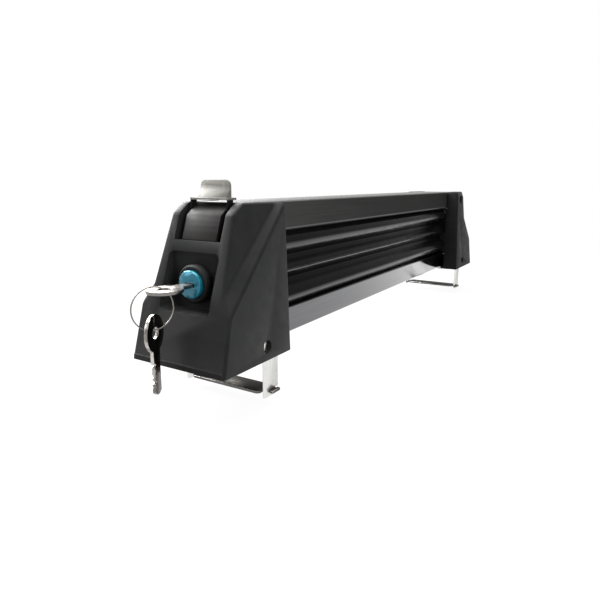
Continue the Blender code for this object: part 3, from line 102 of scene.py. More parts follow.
# What is merged, flat, sharp or creased on a mesh, in metres and degrees
MERGED_WITHIN = 2e-6
FLAT_WITHIN = 0.4
SHARP_FROM = 50.0
CREASED_FROM = 42.0

Colour = tuple[float, float, float]
Point = tuple[float, float, float]
Span = tuple[float, float]

# A share's whole range, and the part of a noise's range that most of it lies in
WHOLE: Span = (0.0, 1.0)
MIDDLE: Span = (0.3, 0.7)


class Grain(Enum):
    """Which way a finish's fine lines run."""

    ALONG = (0.02, 1.0, 1.0)
    ACROSS = (1.0, 0.02, 1.0)
    UPRIGHT = (1.0, 1.0, 0.03)
    EVEN = (1.0, 1.0, 1.0)


class Graph:
    """A material's node tree, with short calls that add and join its nodes."""

    wear_lumps: float = 160.0
    wear_span: Span = (0.35, 0.7)
    wear_least: float = 0.15
    dust_lean: Span = (0.3, 1.0)
    dust_lumps: float = 45.0
    dust_span: Span = (0.35, 0.75)

    def __init__(self, name: str) -> None:
        """Starts a material with its shader.

        Args:
            name: The material's name.
        """
        self.material = bpy.data.materials.new(name)
        self.material.use_nodes = True
        self.tree = self.material.node_tree
        self.shader = self.tree.nodes["Principled BSDF"]
        self.place = self.add("ShaderNodeTexCoord").outputs["Object"]

    def add(self, kind: str, **settings: Any) -> bpy.types.Node:
        """Adds a node.

        Args:
            kind: The node's type.
            settings: Properties set on the node.

        Returns:
            The new node.
        """
        node = self.tree.nodes.new(kind)
        for name, value in settings.items():
            setattr(node, name, value)
        return node

    def link(self, source: bpy.types.NodeSocket, target: bpy.types.NodeSocket) -> None:
        """Joins two sockets.

        Args:
            source: The socket that gives a value.
            target: The socket that takes it.
        """
        self.tree.links.new(source, target)

    def feed(self, name: str, source: bpy.types.NodeSocket) -> None:
        """Joins a socket to one of the shader's own.

        Args:
            name: The shader's socket.
            source: The socket that gives a value.
        """
        self.link(source, self.shader.inputs[name])

    def set(self, **values: Any) -> None:
        """Sets values on the shader's own sockets.

        Args:
            values: The values by the sockets' names, with underscores for the spaces.
        """
        for name, value in values.items():
            self.shader.inputs[name.replace("_", " ")].default_value = value

    def noise(self, scale: float, detail: float = 3.0, grain: Grain = Grain.EVEN) -> bpy.types.NodeSocket:
        """A noise on the piece's own place.

        Args:
            scale: Lumps per metre.
            detail: Octaves.
            grain: The way the lumps are drawn out.

        Returns:
            The noise's value.
        """
        turn = self.add("ShaderNodeMapping")
        turn.inputs["Scale"].default_value = grain.value
        self.link(self.place, turn.inputs["Vector"])
        made = self.add("ShaderNodeTexNoise")
        made.inputs["Scale"].default_value = scale
        made.inputs["Detail"].default_value = detail
        self.link(turn.outputs["Vector"], made.inputs["Vector"])
        return made.outputs["Fac"]

    def remap(self, source: bpy.types.NodeSocket, span: Span, to: Span) -> bpy.types.NodeSocket:
        """Maps a value's span to another, held at both ends.

        Args:
            source: The value.
            span: Its lowest and highest that count.
            to: What these become.

        Returns:
            The mapped value.
        """
        made = self.add("ShaderNodeMapRange", interpolation_type="SMOOTHSTEP")
        made.inputs["From Min"].default_value, made.inputs["From Max"].default_value = span
        made.inputs["To Min"].default_value, made.inputs["To Max"].default_value = to
        self.link(source, made.inputs["Value"])
        return made.outputs["Result"]

    def times(self, first: bpy.types.NodeSocket, second: bpy.types.NodeSocket) -> bpy.types.NodeSocket:
        """Multiplies two values.

        Args:
            first: One value.
            second: The other.

        Returns:
            Their product.
        """
        made = self.add("ShaderNodeMath", operation="MULTIPLY")
        self.link(first, made.inputs[0])
        self.link(second, made.inputs[1])
        return made.outputs["Value"]

    def blend(self, share: bpy.types.NodeSocket, first: Any, second: Colour) -> bpy.types.NodeSocket:
        """Mixes two colours.

        Args:
            share: How much of the second shows.
            first: A colour, or a socket that gives one.
            second: A colour.

        Returns:
            The mixed colour.
        """
        made = self.add("ShaderNodeMix", data_type="RGBA")
        self.link(share, made.inputs["Factor"])
        if isinstance(first, bpy.types.NodeSocket):
            self.link(first, made.inputs["A"])
        else:
            made.inputs["A"].default_value = (*first, 1.0)
        made.inputs["B"].default_value = (*second, 1.0)
        return made.outputs["Result"]

    def relief(self, height: bpy.types.NodeSocket, depth: float, under: Any = None) -> bpy.types.NodeSocket:
        """A bump.

        Args:
            height: The relief's value.
            depth: Its depth in metres.
            under: A relief below it, if any.

        Returns:
            The bent normal.
        """
        made = self.add("ShaderNodeBump")
        made.inputs["Distance"].default_value = depth
        made.inputs["Strength"].default_value = 1.0
        self.link(height, made.inputs["Height"])
        if under is not None:
            self.link(under, made.inputs["Normal"])
        return made.outputs["Normal"]

    def worn_edges(self, amount: float) -> bpy.types.NodeSocket:
        """How far rubbed the surface is: the rounded edges, broken up by a noise.

        Args:
            amount: The most that shows.

        Returns:
            The share of wear.
        """
        noise = self.noise(self.wear_lumps, detail=4.0)
        patches = self.remap(noise, self.wear_span, (self.wear_least * amount, amount))
        return self.times(self.carried(WORN), patches)

    def carried(self, name: str) -> bpy.types.NodeSocket:
        """A value that the mesh carries.

        Args:
            name: The mesh's attribute.

        Returns:
            The attribute's value.
        """
        made = self.add("ShaderNodeAttribute", attribute_name=name, attribute_type="GEOMETRY")
        return made.outputs["Fac"]

    def sheen(self, dull: float, bright: float) -> None:
        """Sets how strongly the surface reflects, by the painted sheen that it carries in place of real
        highlights and reflections.

        Args:
            dull: The level with no painted sheen.
            bright: The level with full painted sheen.
        """
        if dull == bright:
            self.set(Specular_IOR_Level=dull)
            return
        self.feed("Specular IOR Level", self.remap(self.carried(PAINTED_SHEEN), WHOLE, (dull, bright)))

    def dust(self, amount: float) -> bpy.types.NodeSocket:
        """How dusty the surface is: what faces up, in soft patches.

        Args:
            amount: The most that shows.

        Returns:
            The share of dust.
        """
        parts = self.add("ShaderNodeSeparateXYZ")
        self.link(self.add("ShaderNodeNewGeometry").outputs["True Normal"], parts.inputs["Vector"])
        upward = self.remap(parts.outputs["Z"], self.dust_lean, WHOLE)
        patches = self.remap(self.noise(self.dust_lumps, detail=5.0), self.dust_span, (0.0, amount))
        return self.times(upward, patches)


@dataclass(frozen=True)
class Finish:
    """What every finish has."""

    name: str
    colour: Colour
    roughness: float

    def make(self) -> bpy.types.Material:
        """Builds the material, or gives the one already built.

        Returns:
            The material.
        """
        known = bpy.data.materials.get(self.name)
        return known if known else self.draw(Graph(self.name))

    def draw(self, graph: Graph) -> bpy.types.Material:
        """Draws the finish's nodes.

        Args:
            graph: The material's node tree.

        Returns:
            The material.
        """
        raise NotImplementedError

    def shade(self, share: float) -> Colour:
        """The finish's colour, lighter or darker.

        Args:
            share: How much of its light is left.

        Returns:
            The colour.
        """
        return (self.colour[0] * share, self.colour[1] * share, self.colour[2] * share)

    def roughen(self, graph: Graph, noise: bpy.types.NodeSocket, span: Span, swing: Span) -> None:
        """Lets the roughness vary with a noise.

        Args:
            graph: The material's node tree.
            noise: The noise.
            span: The part of its range that counts.
            swing: What is added to the roughness at both ends of it.
        """
        low, high = swing
        graph.feed("Roughness", graph.remap(noise, span, (self.roughness + low, self.roughness + high)))


@dataclass(frozen=True)
class MouldedPlastic(Finish):
    """Black or grey moulded plastic with a fine eroded grain, rubbed paler on its edges."""

    rub: Colour = (0.075, 0.074, 0.072)
    rub_most: float = 0.55
    dust: Colour = (0.3, 0.29, 0.27)
    dust_most: float = 0.05
    mottle: float = 70.0
    swing: float = 0.13
    smear_lumps: float = 110.0
    smear_span: Span = (0.25, 0.75)
    rough_swing: Span = (-0.06, 0.06)
    grain_lumps: float = 1900.0
    grain_depth: float = 0.00002
    flow_lumps: float = 35.0
    flow_depth: float = 0.0002
    specular: float = 0.4
    polished: float = 0.4

    def draw(self, graph: Graph) -> bpy.types.Material:
        """Draws the finish's nodes.

        Args:
            graph: The material's node tree.

        Returns:
            The material.
        """
        mottle = graph.remap(graph.noise(self.mottle, 4.0, Grain.ACROSS), MIDDLE, WHOLE)
        body = graph.blend(mottle, self.shade(1.0 - self.swing), self.shade(1.0 + self.swing))
        rubbed = graph.blend(graph.worn_edges(self.rub_most), body, self.rub)
        graph.feed("Base Color", graph.blend(graph.dust(self.dust_most), rubbed, self.dust))
        self.roughen(graph, graph.noise(self.smear_lumps, detail=5.0), self.smear_span, self.rough_swing)
        erosion = graph.noise(self.grain_lumps, detail=2.0)
        flow = graph.relief(graph.noise(self.flow_lumps, detail=2.0), self.flow_depth)
        graph.feed("Normal", graph.relief(erosion, self.grain_depth, flow))
        graph.sheen(self.specular, self.polished)
        return graph.material


@dataclass(frozen=True)
class DrawnMetal(Finish):
    """Extruded metal under a dark film, with die lines along the rail."""

    metallic: float = 0.0
    specular: float = 0.5
    polished: float = 0.5
    bare: Colour = (0.3, 0.3, 0.3)
    wear: float = 0.4
    dust: Colour = (0.3, 0.3, 0.29)
    dust_most: float = 0.03
    line_lumps: float = 700.0
    line_swing: float = 0.08
    line_depth: float = 0.00001
    patch_lumps: float = 30.0
    rough_swing: Span = (-0.03, 0.04)
    wave_lumps: float = 14.0
    wave_depth: float = 0.00015
    coat: float = 0.0
    coat_roughness: float = 0.1

    def draw(self, graph: Graph) -> bpy.types.Material:
        """Draws the finish's nodes.

        Args:
            graph: The material's node tree.

        Returns:
            The material.
        """
        lines = graph.noise(self.line_lumps, grain=Grain.ALONG)
        tone = graph.remap(lines, MIDDLE, WHOLE)
        body = graph.blend(tone, self.shade(1.0 - self.line_swing), self.shade(1.0 + self.line_swing))
        rubbed = graph.blend(graph.worn_edges(self.wear), body, self.bare)
        graph.feed("Base Color", graph.blend(graph.dust(self.dust_most), rubbed, self.dust))
        self.roughen(graph, graph.noise(self.patch_lumps, detail=5.0), MIDDLE, self.rough_swing)
        wave = graph.relief(graph.noise(self.wave_lumps, detail=2.0), self.wave_depth)
        graph.feed("Normal", graph.relief(lines, self.line_depth, wave))
        graph.sheen(self.specular, self.polished)
        graph.set(Metallic=self.metallic, Coat_Weight=self.coat, Coat_Roughness=self.coat_roughness)
        return graph.material


@dataclass(frozen=True)
class PadRubber(Finish):
    """Soft black rubber with extrusion lines and a dull bloom."""

    specular: float = 0.5
    polished: float = 0.5
    bloom_lumps: float = 28.0
    bloom_span: Span = (0.4, 0.72)
    bloom_most: float = 0.5
    bloom_shades: Span = (0.9, 1.4)
    dust: Colour = (0.25, 0.24, 0.22)
    dust_most: float = 0.008
    smear_lumps: float = 90.0
    rough_swing: Span = (-0.05, 0.07)
    drag_lumps: float = 900.0
    drag_depth: float = 0.000001
    pore_lumps: float = 2600.0
    pore_depth: float = 0.0000006

    def draw(self, graph: Graph) -> bpy.types.Material:
        """Draws the finish's nodes.

        Args:
            graph: The material's node tree.

        Returns:
            The material.
        """
        deep, pale = self.bloom_shades
        noise = graph.noise(self.bloom_lumps, detail=5.0)
        bloom = graph.remap(noise, self.bloom_span, (0.0, self.bloom_most))
        body = graph.blend(bloom, self.shade(deep), self.shade(pale))
        graph.feed("Base Color", graph.blend(graph.dust(self.dust_most), body, self.dust))
        self.roughen(graph, graph.noise(self.smear_lumps, detail=4.0), MIDDLE, self.rough_swing)
        drag = graph.relief(graph.noise(self.drag_lumps, 2.0, Grain.ALONG), self.drag_depth)
        pores = graph.noise(self.pore_lumps, detail=2.0)
        graph.feed("Normal", graph.relief(pores, self.pore_depth, drag))
        graph.sheen(self.specular, self.polished)
        return graph.material


@dataclass(frozen=True)
class BareSteel(Finish):
    """Sheet, plate or wire: rolled lines, small dents, duller stains and, on some, brighter edges."""

    grain: Grain = Grain.UPRIGHT
    dull: Colour = (0.4, 0.39, 0.36)
    edge: Colour | None = None
    rim: float = 1.0
    line_lumps: float = 1500.0
    line_shades: Span = (0.93, 1.05)
    line_depth: float = 0.000006
    stain_lumps: float = 120.0
    stain_span: Span = (0.52, 0.8)
    stain_most: float = 0.6
    rough_swing: Span = (-0.05, 0.08)
    dent_lumps: float = 420.0
    dent_depth: float = 0.00002

    def draw(self, graph: Graph) -> bpy.types.Material:
        """Draws the finish's nodes.

        Args:
            graph: The material's node tree.

        Returns:
            The material.
        """
        deep, pale = self.line_shades
        lines = graph.noise(self.line_lumps, grain=self.grain)
        noise = graph.noise(self.stain_lumps, detail=5.0)
        stain = graph.remap(noise, self.stain_span, (0.0, self.stain_most))
        body = graph.blend(graph.remap(lines, MIDDLE, WHOLE), self.shade(deep), self.shade(pale))
        plate = graph.blend(stain, body, self.dull)
        if self.edge is not None:
            plate = graph.blend(graph.worn_edges(1.0), plate, self.edge)
        graph.feed("Base Color", plate)
        self.roughen(graph, lines, MIDDLE, self.rough_swing)
        dents = graph.relief(graph.noise(self.dent_lumps, detail=5.0), self.dent_depth)
        graph.feed("Normal", graph.relief(lines, self.line_depth, dents))
        graph.set(Metallic=1.0, Specular_Tint=(self.rim, self.rim, self.rim, 1.0))
        return graph.material


@dataclass(frozen=True)
class LockFace(Finish):
    """The plug's glossy blue face, turned with fine rings and paler where the key has rubbed it."""

    height: float = 0.0545
    ring_scale: float = 900.0
    ring_wobble: float = 1.0
    ring_depth: float = 0.000006
    rub_lumps: float = 260.0
    rub_span: Span = (0.45, 0.75)
    rub_most: float = 0.7
    rub_shades: Span = (0.85, 1.35)
    edge: Colour = (0.35, 0.6, 0.7)
    edge_most: float = 0.5
    smear_lumps: float = 300.0
    rough_swing: Span = (0.0, 0.1)
    metallic: float = 0.35
    coat: float = 0.25
    coat_roughness: float = 0.12

    def draw(self, graph: Graph) -> bpy.types.Material:
        """Draws the finish's nodes.

        Args:
            graph: The material's node tree.

        Returns:
            The material.
        """
        deep, pale = self.rub_shades
        noise = graph.noise(self.rub_lumps, detail=5.0)
        rub = graph.remap(noise, self.rub_span, (0.0, self.rub_most))
        body = graph.blend(rub, self.shade(deep), self.shade(pale))
        graph.feed("Base Color", graph.blend(graph.worn_edges(self.edge_most), body, self.edge))
        self.roughen(graph, graph.noise(self.smear_lumps), MIDDLE, self.rough_swing)
        graph.feed("Normal", graph.relief(self.rings(graph), self.ring_depth))
        graph.set(Metallic=self.metallic, Coat_Weight=self.coat, Coat_Roughness=self.coat_roughness)
        return graph.material

    def rings(self, graph: Graph) -> bpy.types.NodeSocket:
        """The turned rings round the plug's axis.

        Args:
            graph: The material's node tree.

        Returns:
            The rings' value.
        """
        centre = graph.add("ShaderNodeMapping")
        centre.inputs["Location"].default_value = (0.0, 0.0, -self.height)
        centre.inputs["Scale"].default_value = (0.0, 1.0, 1.0)
        graph.link(graph.place, centre.inputs["Vector"])
        rings = graph.add("ShaderNodeTexWave", wave_type="RINGS", rings_direction="X")
        rings.inputs["Scale"].default_value = self.ring_scale
        rings.inputs["Distortion"].default_value = self.ring_wobble
        graph.link(centre.outputs["Vector"], rings.inputs["Vector"])
        return rings.outputs["Fac"]


@dataclass(frozen=True)
class Finishes:
    """The rack's finishes, by the surfaces that they are on."""

    housing: MouldedPlastic = MouldedPlastic(
        "housing_black", (0.0122, 0.0124, 0.0124), 0.5, rub=(0.03, 0.03, 0.03), specular=0.05, polished=0.26
    )
    boss: MouldedPlastic = MouldedPlastic(
        "boss_black", (0.012, 0.012, 0.0125), 0.5, specular=0.08, polished=0.08
    )
    block: MouldedPlastic = MouldedPlastic(
        "block_grey",
        (0.0104, 0.0094, 0.009),
        0.5,
        rub=(0.03, 0.03, 0.03),
        specular=0.1,
        polished=0.1,
        swing=0.45,
        mottle=480.0,
    )
    arm: DrawnMetal = DrawnMetal(
        "arm_black", (0.04, 0.0395, 0.039), 0.5, specular=0.004, polished=0.6, wear=1.0
    )
    rail: DrawnMetal = DrawnMetal(
        "rail_black", (0.13, 0.13, 0.136), 0.14, metallic=1.0, line_depth=0.000003, coat=1.0
    )
    casting: DrawnMetal = DrawnMetal(
        "casting_black", (0.02, 0.02, 0.021), 0.5, specular=0.3, polished=0.3, line_depth=0.0
    )
    pad: PadRubber = PadRubber("pad_rubber", (0.006, 0.006, 0.0063), 0.2, specular=0.02, polished=0.5)
    foot: PadRubber = PadRubber("foot_rubber", (0.012, 0.012, 0.012), 0.55)
    sheet: BareSteel = BareSteel("strap_sheet", (0.8, 0.795, 0.77), 0.27, dull=(0.58, 0.57, 0.54), rim=0.55)
    # The clamp plate's dark colour is painted shadow, as under a crossbar; its rounded edges show paler
    # steel
    plate: BareSteel = BareSteel(
        "plate_sheet",
        (0.12, 0.115, 0.108),
        0.35,
        dull=(0.06, 0.057, 0.053),
        edge=(0.5, 0.49, 0.47),
        rim=0.4,
    )
    hook: BareSteel = BareSteel("hook_sheet", (0.17, 0.168, 0.155), 0.45)
    # Black for the pins; on the catch's legs in the notch it is painted shade
    legs: DrawnMetal = DrawnMetal(
        "leg_black", (0.006, 0.006, 0.006), 0.6, specular=0.05, polished=0.05, bare=(0.02, 0.02, 0.02)
    )
    zinc: BareSteel = BareSteel("zinc_plate", (0.58, 0.59, 0.58), 0.34, Grain.EVEN)
    nickel: BareSteel = BareSteel(
        "ring_nickel", (0.24, 0.224, 0.21), 0.36, Grain.ALONG, dull=(0.12, 0.11, 0.1), rim=0.4
    )
    key: BareSteel = BareSteel(
        "worn_nickel", (0.24, 0.225, 0.215), 0.34, Grain.ALONG, dull=(0.08, 0.07, 0.065)
    )
    # The spare key's dark faces are a painted dark reflection; its cut sides keep paler nickel
    spare: BareSteel = BareSteel(
        "tarnished_nickel", (0.1, 0.09, 0.082), 0.15, dull=(0.05, 0.044, 0.04), edge=(0.6, 0.57, 0.54)
    )
    face: LockFace = LockFace("lock_blue", (0.005, 0.145, 0.215), 0.16)


def place_object(name: str, bm: bmesh.types.BMesh, finish: Finish) -> bpy.types.Object:
    """Makes an object of a bmesh, at the origin and smooth between its creases.

    Args:
        name: The piece's name.
        bm: Its shape, freed here.
        finish: Its finish.

    Returns:
        The new object.
    """
    mesh = bpy.data.meshes.new(name)
    bm.to_mesh(mesh)
    bm.free()
    mesh.shade_smooth()
    mesh.set_sharp_from_angle(angle=math.radians(CREASED_FROM))
    mesh.materials.append(finish.make())
    obj = bpy.data.objects.new(name, mesh)
    bpy.context.scene.collection.objects.link(obj)
    return obj


def round_edges(
    bm: bmesh.types.BMesh, offset: float, angle: float = SHARP_FROM, segments: int = 2
) -> None:
    """Rounds a shape's sharp edges and marks the new faces as rubbed.

    Args:
        bm: The shape.
        offset: The rounding's width.
        angle: The least turn, in degrees, that counts as sharp.
        segments: Facets across the rounding.
    """
    layer = bm.faces.layers.float.get(WORN) or bm.faces.layers.float.new(WORN)
    least = math.radians(angle)
    sharp = [edge for edge in bm.edges if edge.is_manifold and edge.calc_face_angle(0.0) > least]
    if not sharp:
        return
    made = bmesh.ops.bevel(
        bm,
        geom=sharp,
        offset=offset,
        offset_type="OFFSET",
        segments=segments,
        profile=0.5,
        affect="EDGES",
        clamp_overlap=True,
        material=-1,
    )
    for face in made["faces"]:
        face[layer] = 1.0


@dataclass
class Assembly:
    """A sub-assembly of the rack: it rounds its nodes over and dresses them."""

    frame: dict[str, Any]
    finishes: Finishes
    bodies: dict[str, str] = field(init=False)
    slots: dict[str, str] = field(init=False)

    def __post_init__(self) -> None:
        """Finds which body and material slot each node has."""
        groups = self.frame["record"]["behaviour"]["bodies"]
        self.bodies = {node: body for body, nodes in groups.items() for node in nodes}
        self.slots = {item["node"]: item["material_slot"] for item in self.frame["record"]["subparts"]}

    def shell(
        self, node: str, finish: Finish, rounding: float, segments: int = 2, ending: str = "_shell"
    ) -> bpy.types.Object:
        """Stands a merged copy of a node, with its edges rounded over, in the node's place.

        Args:
            node: The node.
            finish: The copy's finish.
            rounding: How far its sharp edges are rounded.
            segments: Facets across a rounding.
            ending: What the copy's name has after the node's.

        Returns:
            The copy.
        """
        bm = bmesh.new()
        bm.from_mesh(self.frame["nodes"][node].data)
        bmesh.ops.remove_doubles(bm, verts=bm.verts, dist=MERGED_WITHIN)
        flat = math.radians(FLAT_WITHIN)
        bmesh.ops.dissolve_limit(bm, angle_limit=flat, verts=bm.verts, edges=bm.edges)
        round_edges(bm, rounding, segments=segments)
        return self.stand_for(place_object(node + ending, bm, finish), node)

    def stand_for(self, piece: bpy.types.Object, node: str) -> bpy.types.Object:
        """Lets a piece ride on a node's body, in the node's place, and hides the node.

        Args:
            piece: The piece.
            node: The node it stands for.

        Returns:
            The piece.
        """
        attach(piece, self.bodies[node])
        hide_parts(node)
        LOG.info("%s stands for %s on %s", piece.name, node, self.bodies[node])
        return piece

    def paint(self, node: str, finish: Finish) -> None:
        """Gives a node that stays in view its finish.

        Args:
            node: The node.
            finish: Its finish.
        """
        mesh = self.frame["nodes"][node].data
        mesh.materials.clear()
        mesh.materials.append(finish.make())
        LOG.info("%s keeps its CAD shape on %s", node, self.bodies[node])


@dataclass
class Towers(Assembly):
    """Both housings, their base plates, rubber feet and screws."""

    rounding: float = 0.0005
    foot_rounding: float = 0.0003
    screw_rounding: float = 0.0002
    screws: int = 4
    cheek_turn: float = 0.8
    cheek_lean: float = 0.08
    flank_lean: float = 0.15
    half_polish: float = 0.25
    most_share: float = 0.7

    def build(self) -> None:
        """Makes the housings' rounded shells and what is under them."""
        for end in ("lock", "hinge"):
            housing = self.shell(end + "_tower", self.finishes.housing, self.rounding)
            self.polish_cheeks(housing, float(end == "lock"))
            self.shell(end + "_base_plate", self.finishes.housing, self.rounding / 2)
            self.foot(end + "_seat_pad")
            for index in range(1, self.screws + 1):
                self.shell(end + "_base_screw_" + str(index), self.finishes.zinc, self.screw_rounding)

    def polish_cheeks(self, housing: bpy.types.Object, cheeks: float) -> None:
        """Paints a sheen on a housing: its cheeks lean towards their own level, more so lower down, the
        rest has a little, and the ridge's flanks none, so that they show as painted shade lines.

        Args:
            housing: The housing's shell.
            cheeks: The painted sheen that its cheeks tend to.
        """
        mesh = housing.data
        tall = max(vert.co.z for vert in mesh.vertices)
        layer = mesh.attributes.new(PAINTED_SHEEN, "FLOAT", "CORNER")
        for polygon in mesh.polygons:
            flat = abs(polygon.normal.y) > self.cheek_turn
            lean = polygon.normal.z
            for index in polygon.loop_indices:
                height = mesh.vertices[mesh.loops[index].vertex_index].co.z
                share = min(self.most_share, 1.0 - height / tall)
                value = self.half_polish
                # Painted sheen on the cheeks, and none on the ridge's flanks, whose darker faces are
                # painted shade lines
                if flat and lean < self.cheek_lean:
                    value += (cheeks - value) * share
                elif flat and lean > self.flank_lean:
                    value = 0.0
                layer.data[index].value = value

    def foot(self, node: str) -> None:
        """The ribbed rubber foot, its ribs and rim rounded.

        Args:
            node: The foot's node.
        """
        piece = self.shell(node, self.finishes.foot, self.foot_rounding, segments=3, ending="_moulded")


@dataclass
class Rails(Assembly):
    """The lower rail and the hinged arm's rail with what is in its ends."""

    rounding: float = 0.0004
    crown_lean: float = 0.6
    crown_polish: float = 0.6
    lip_turn: float = 0.8
    lip_lean: float = 0.3
    under_lean: float = -0.1
    hidden: tuple[str, ...] = (
        "striker_t_nut",
        "striker_screw_1",
        "striker_screw_2",
        "knuckle_screw_1",
        "knuckle_screw_2",
    )

    def build(self) -> None:
        """Makes the rails, the arm's cap, knuckle and striker."""
        self.shell("lower_rail", self.finishes.rail, self.rounding)
        self.polish_crown(self.shell("arm_rail", self.finishes.arm, self.rounding * 2, segments=3))
        self.shell("arm_end_cap", self.finishes.housing, self.rounding)
        self.shell("hinge_knuckle", self.finishes.casting, self.rounding)
        self.shell("hinge_pin", self.finishes.legs, self.rounding / 2)
        self.shell("arm_striker", self.finishes.zinc, self.rounding / 2)
        for node in self.hidden:
            self.paint(node, self.finishes.zinc)

    def polish_crown(self, piece: bpy.types.Object) -> None:
        """Paints a sheen on a rail: some on its top, as a painted highlight, and a full one on its lips and
        rounded lower edges, as painted highlight lines.

        Args:
            piece: The rail's shell.
        """
        mesh = piece.data
        rounded = mesh.attributes[WORN]
        layer = mesh.attributes.new(PAINTED_SHEEN, "FLOAT", "FACE")
        for polygon in mesh.polygons:
            _, turn, lean = polygon.normal
            # Painted highlights: full sheen on the lips and rounded lower edges, some on the top
            under = rounded.data[polygon.index].value > 0.0 and lean < self.under_lean
            lip = abs(turn) > self.lip_turn and lean > self.lip_lean
            crown = self.crown_polish if lean > self.crown_lean else 0.0
            layer.data[polygon.index].value = 1.0 if under or lip else crown


@dataclass
class Pads(Assembly):
    """The two hollow rubber pads, finer than their solids and fullest where the photograph shows it."""

    mean_half: float = 0.0181
    wave: float = 0.0036
    bulge_at: float = 0.31
    period: float = 0.78
    plump: float = 0.13
    foot_half: float = 0.0126
    neck_half: float = 0.0076
    foot_low: float = -0.0056
    foot_high: float = -0.0024
    gap: float = 0.0003
    bore_half: float = 0.0115
    bore_points: int = 32
    bore_margin: float = 1.6
    samples: int = 44
    cuts: int = 60
    lip: float = 0.0009
    lip_from: float = 60.0
    flat_within: float = 0.2
    ripple: float = 0.00012
    slow_drift: float = 31.0
    drift_skew: float = 9.0
    quick_drift: float = 73.0
    quick_share: float = 0.6
    quick_start: float = 1.7
    dull_lean: float = 0.1
    bright_lean: float = -0.28
    rubbed_from: float = 0.3

    def build(self) -> None:
        """Makes both pads."""
        self.pad("lower_pad", 1.0)
        self.pad("arm_pad", -1.0)

    def section(self, height: float) -> list[list[tuple[float, float]]]:
        """The pad's outline and bore across the rack, drawn upwards from its rail.

        Args:
            height: From the rail to the pads' meeting.

        Returns:
            The outline's and the bore's points, each as (across, up).
        """
        side = [(self.foot_half, self.foot_low), (self.foot_half, self.foot_high)]
        side += [(self.neck_half, self.foot_high), (self.neck_half, self.gap)]
        rise = height - self.gap - self.gap / 2
        for index in range(self.samples + 1):
            share = index / self.samples
            turn = math.tau * (share - self.bulge_at) / self.period
            swell = math.cos(turn) + self.plump * (1.0 - math.cos(2.0 * turn))
            side.append((self.mean_half + self.wave * swell, self.gap + rise * share))
        outline = side + [(-across, up) for across, up in reversed(side)]
        tall = height / 2 - self.bore_margin * self.wave
        bore = []
        for index in range(self.bore_points):
            angle = math.tau * index / self.bore_points
            bore.append((self.bore_half * math.cos(angle), height / 2 + tall * math.sin(angle)))
        return [outline, bore]

    def pad(self, node: str, sign: float) -> None:
        """One pad along the rack, in its node's place.

        Args:
            node: The pad's node.
            sign: 1 for a pad that stands on its rail, -1 for one that hangs from it.
        """
        low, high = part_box(node)
        rail = low.z - self.foot_low if sign > 0.0 else high.z + self.foot_low
        height = (high.z - rail if sign > 0.0 else rail - low.z) + self.gap / 2
        length = high.x - low.x
        bm = bmesh.new()
        edges = []
        for loop in self.section(height):
            verts = [bm.verts.new((low.x, sign * across, rail + sign * up)) for across, up in loop]
            edges += [bm.edges.new(pair) for pair in zip(verts, verts[1:] + verts[:1])]
        bmesh.ops.triangle_fill(bm, use_beauty=True, edges=edges)
        grown = bmesh.ops.extrude_face_region(bm, geom=bm.faces[:])
        moved = [item for item in grown["geom"] if isinstance(item, bmesh.types.BMVert)]
        bmesh.ops.translate(bm, vec=(length, 0.0, 0.0), verts=moved)
        bmesh.ops.recalc_face_normals(bm, faces=bm.faces)
        flat = math.radians(self.flat_within)
        bmesh.ops.dissolve_limit(bm, angle_limit=flat, verts=bm.verts, edges=bm.edges)
        round_edges(bm, self.lip, self.lip_from, 3)
        runs = [edge for edge in bm.edges if abs(edge.verts[0].co.x - edge.verts[1].co.x) > length / 2]
        bmesh.ops.subdivide_edges(bm, edges=runs, cuts=self.cuts, use_grid_fill=True)
        self.settle(bm)
        self.polish(bm)
        piece = self.stand_for(place_object(node + "_rubber", bm, self.finishes.pad), node)

    def settle(self, bm: bmesh.types.BMesh) -> None:
        """Lets the rubber's sides wander a little along its length, as a soft extrusion does.

        Args:
            bm: The pad's shape.
        """
        for vert in bm.verts:
            slow = math.sin(self.slow_drift * vert.co.x + self.drift_skew * vert.co.z)
            quick = math.sin(self.quick_drift * vert.co.x + self.quick_start)
            side = max(-1.0, min(1.0, vert.co.y / self.mean_half))
            vert.co.y += self.ripple * (slow + self.quick_share * quick) * side

    def polish(self, bm: bmesh.types.BMesh) -> None:
        """Paints a sheen where the rubber stands proud and leans down, a painted reflection, and leaves the
        rest dull.

        Args:
            bm: The pad's shape.
        """
        bm.normal_update()
        layer = bm.verts.layers.float.new(PAINTED_SHEEN)
        crease = self.mean_half - self.wave
        for vert in bm.verts:
            # Painted reflection: strong where the rubber leans down and stands proud, faint where it faces
            # up
            lean = (self.dull_lean - vert.normal.z) / (self.dull_lean - self.bright_lean)
            proud = (abs(vert.co.y) - crease) / (2.0 * self.wave * self.rubbed_from) - 1.0
            vert[layer] = max(0.0, min(1.0, lean)) * max(0.0, min(1.0, proud))


@dataclass
class Latch(Assembly):
    """The grey block in the lock end's notch and the steel catch on it."""

    rounding: float = 0.0007
    film_edge: float = 0.002

    def build(self) -> None:
        """Makes the block, catch, pin and spring."""
        self.shell("latch_block", self.finishes.block, self.rounding, segments=3)
        self.blacken_legs(self.shell("latch_hook", self.finishes.hook, self.rounding / 2))
        self.shell("latch_pin", self.finishes.legs, self.rounding / 3)
        self.paint("latch_spring", self.finishes.zinc)

    def blacken_legs(self, hook: bpy.types.Object) -> None:
        """Gives the catch's legs, down in the notch, a black that is painted shade there, below its bright
        plate.

        Args:
            hook: The catch's shell.
        """
        _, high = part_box("latch_block")
        hook.data.materials.append(self.finishes.legs.make())
        for polygon in hook.data.polygons:
            # Faces below the block's top take the black: painted shade in the notch
            polygon.material_index = int(polygon.center.z < high.z + self.film_edge)


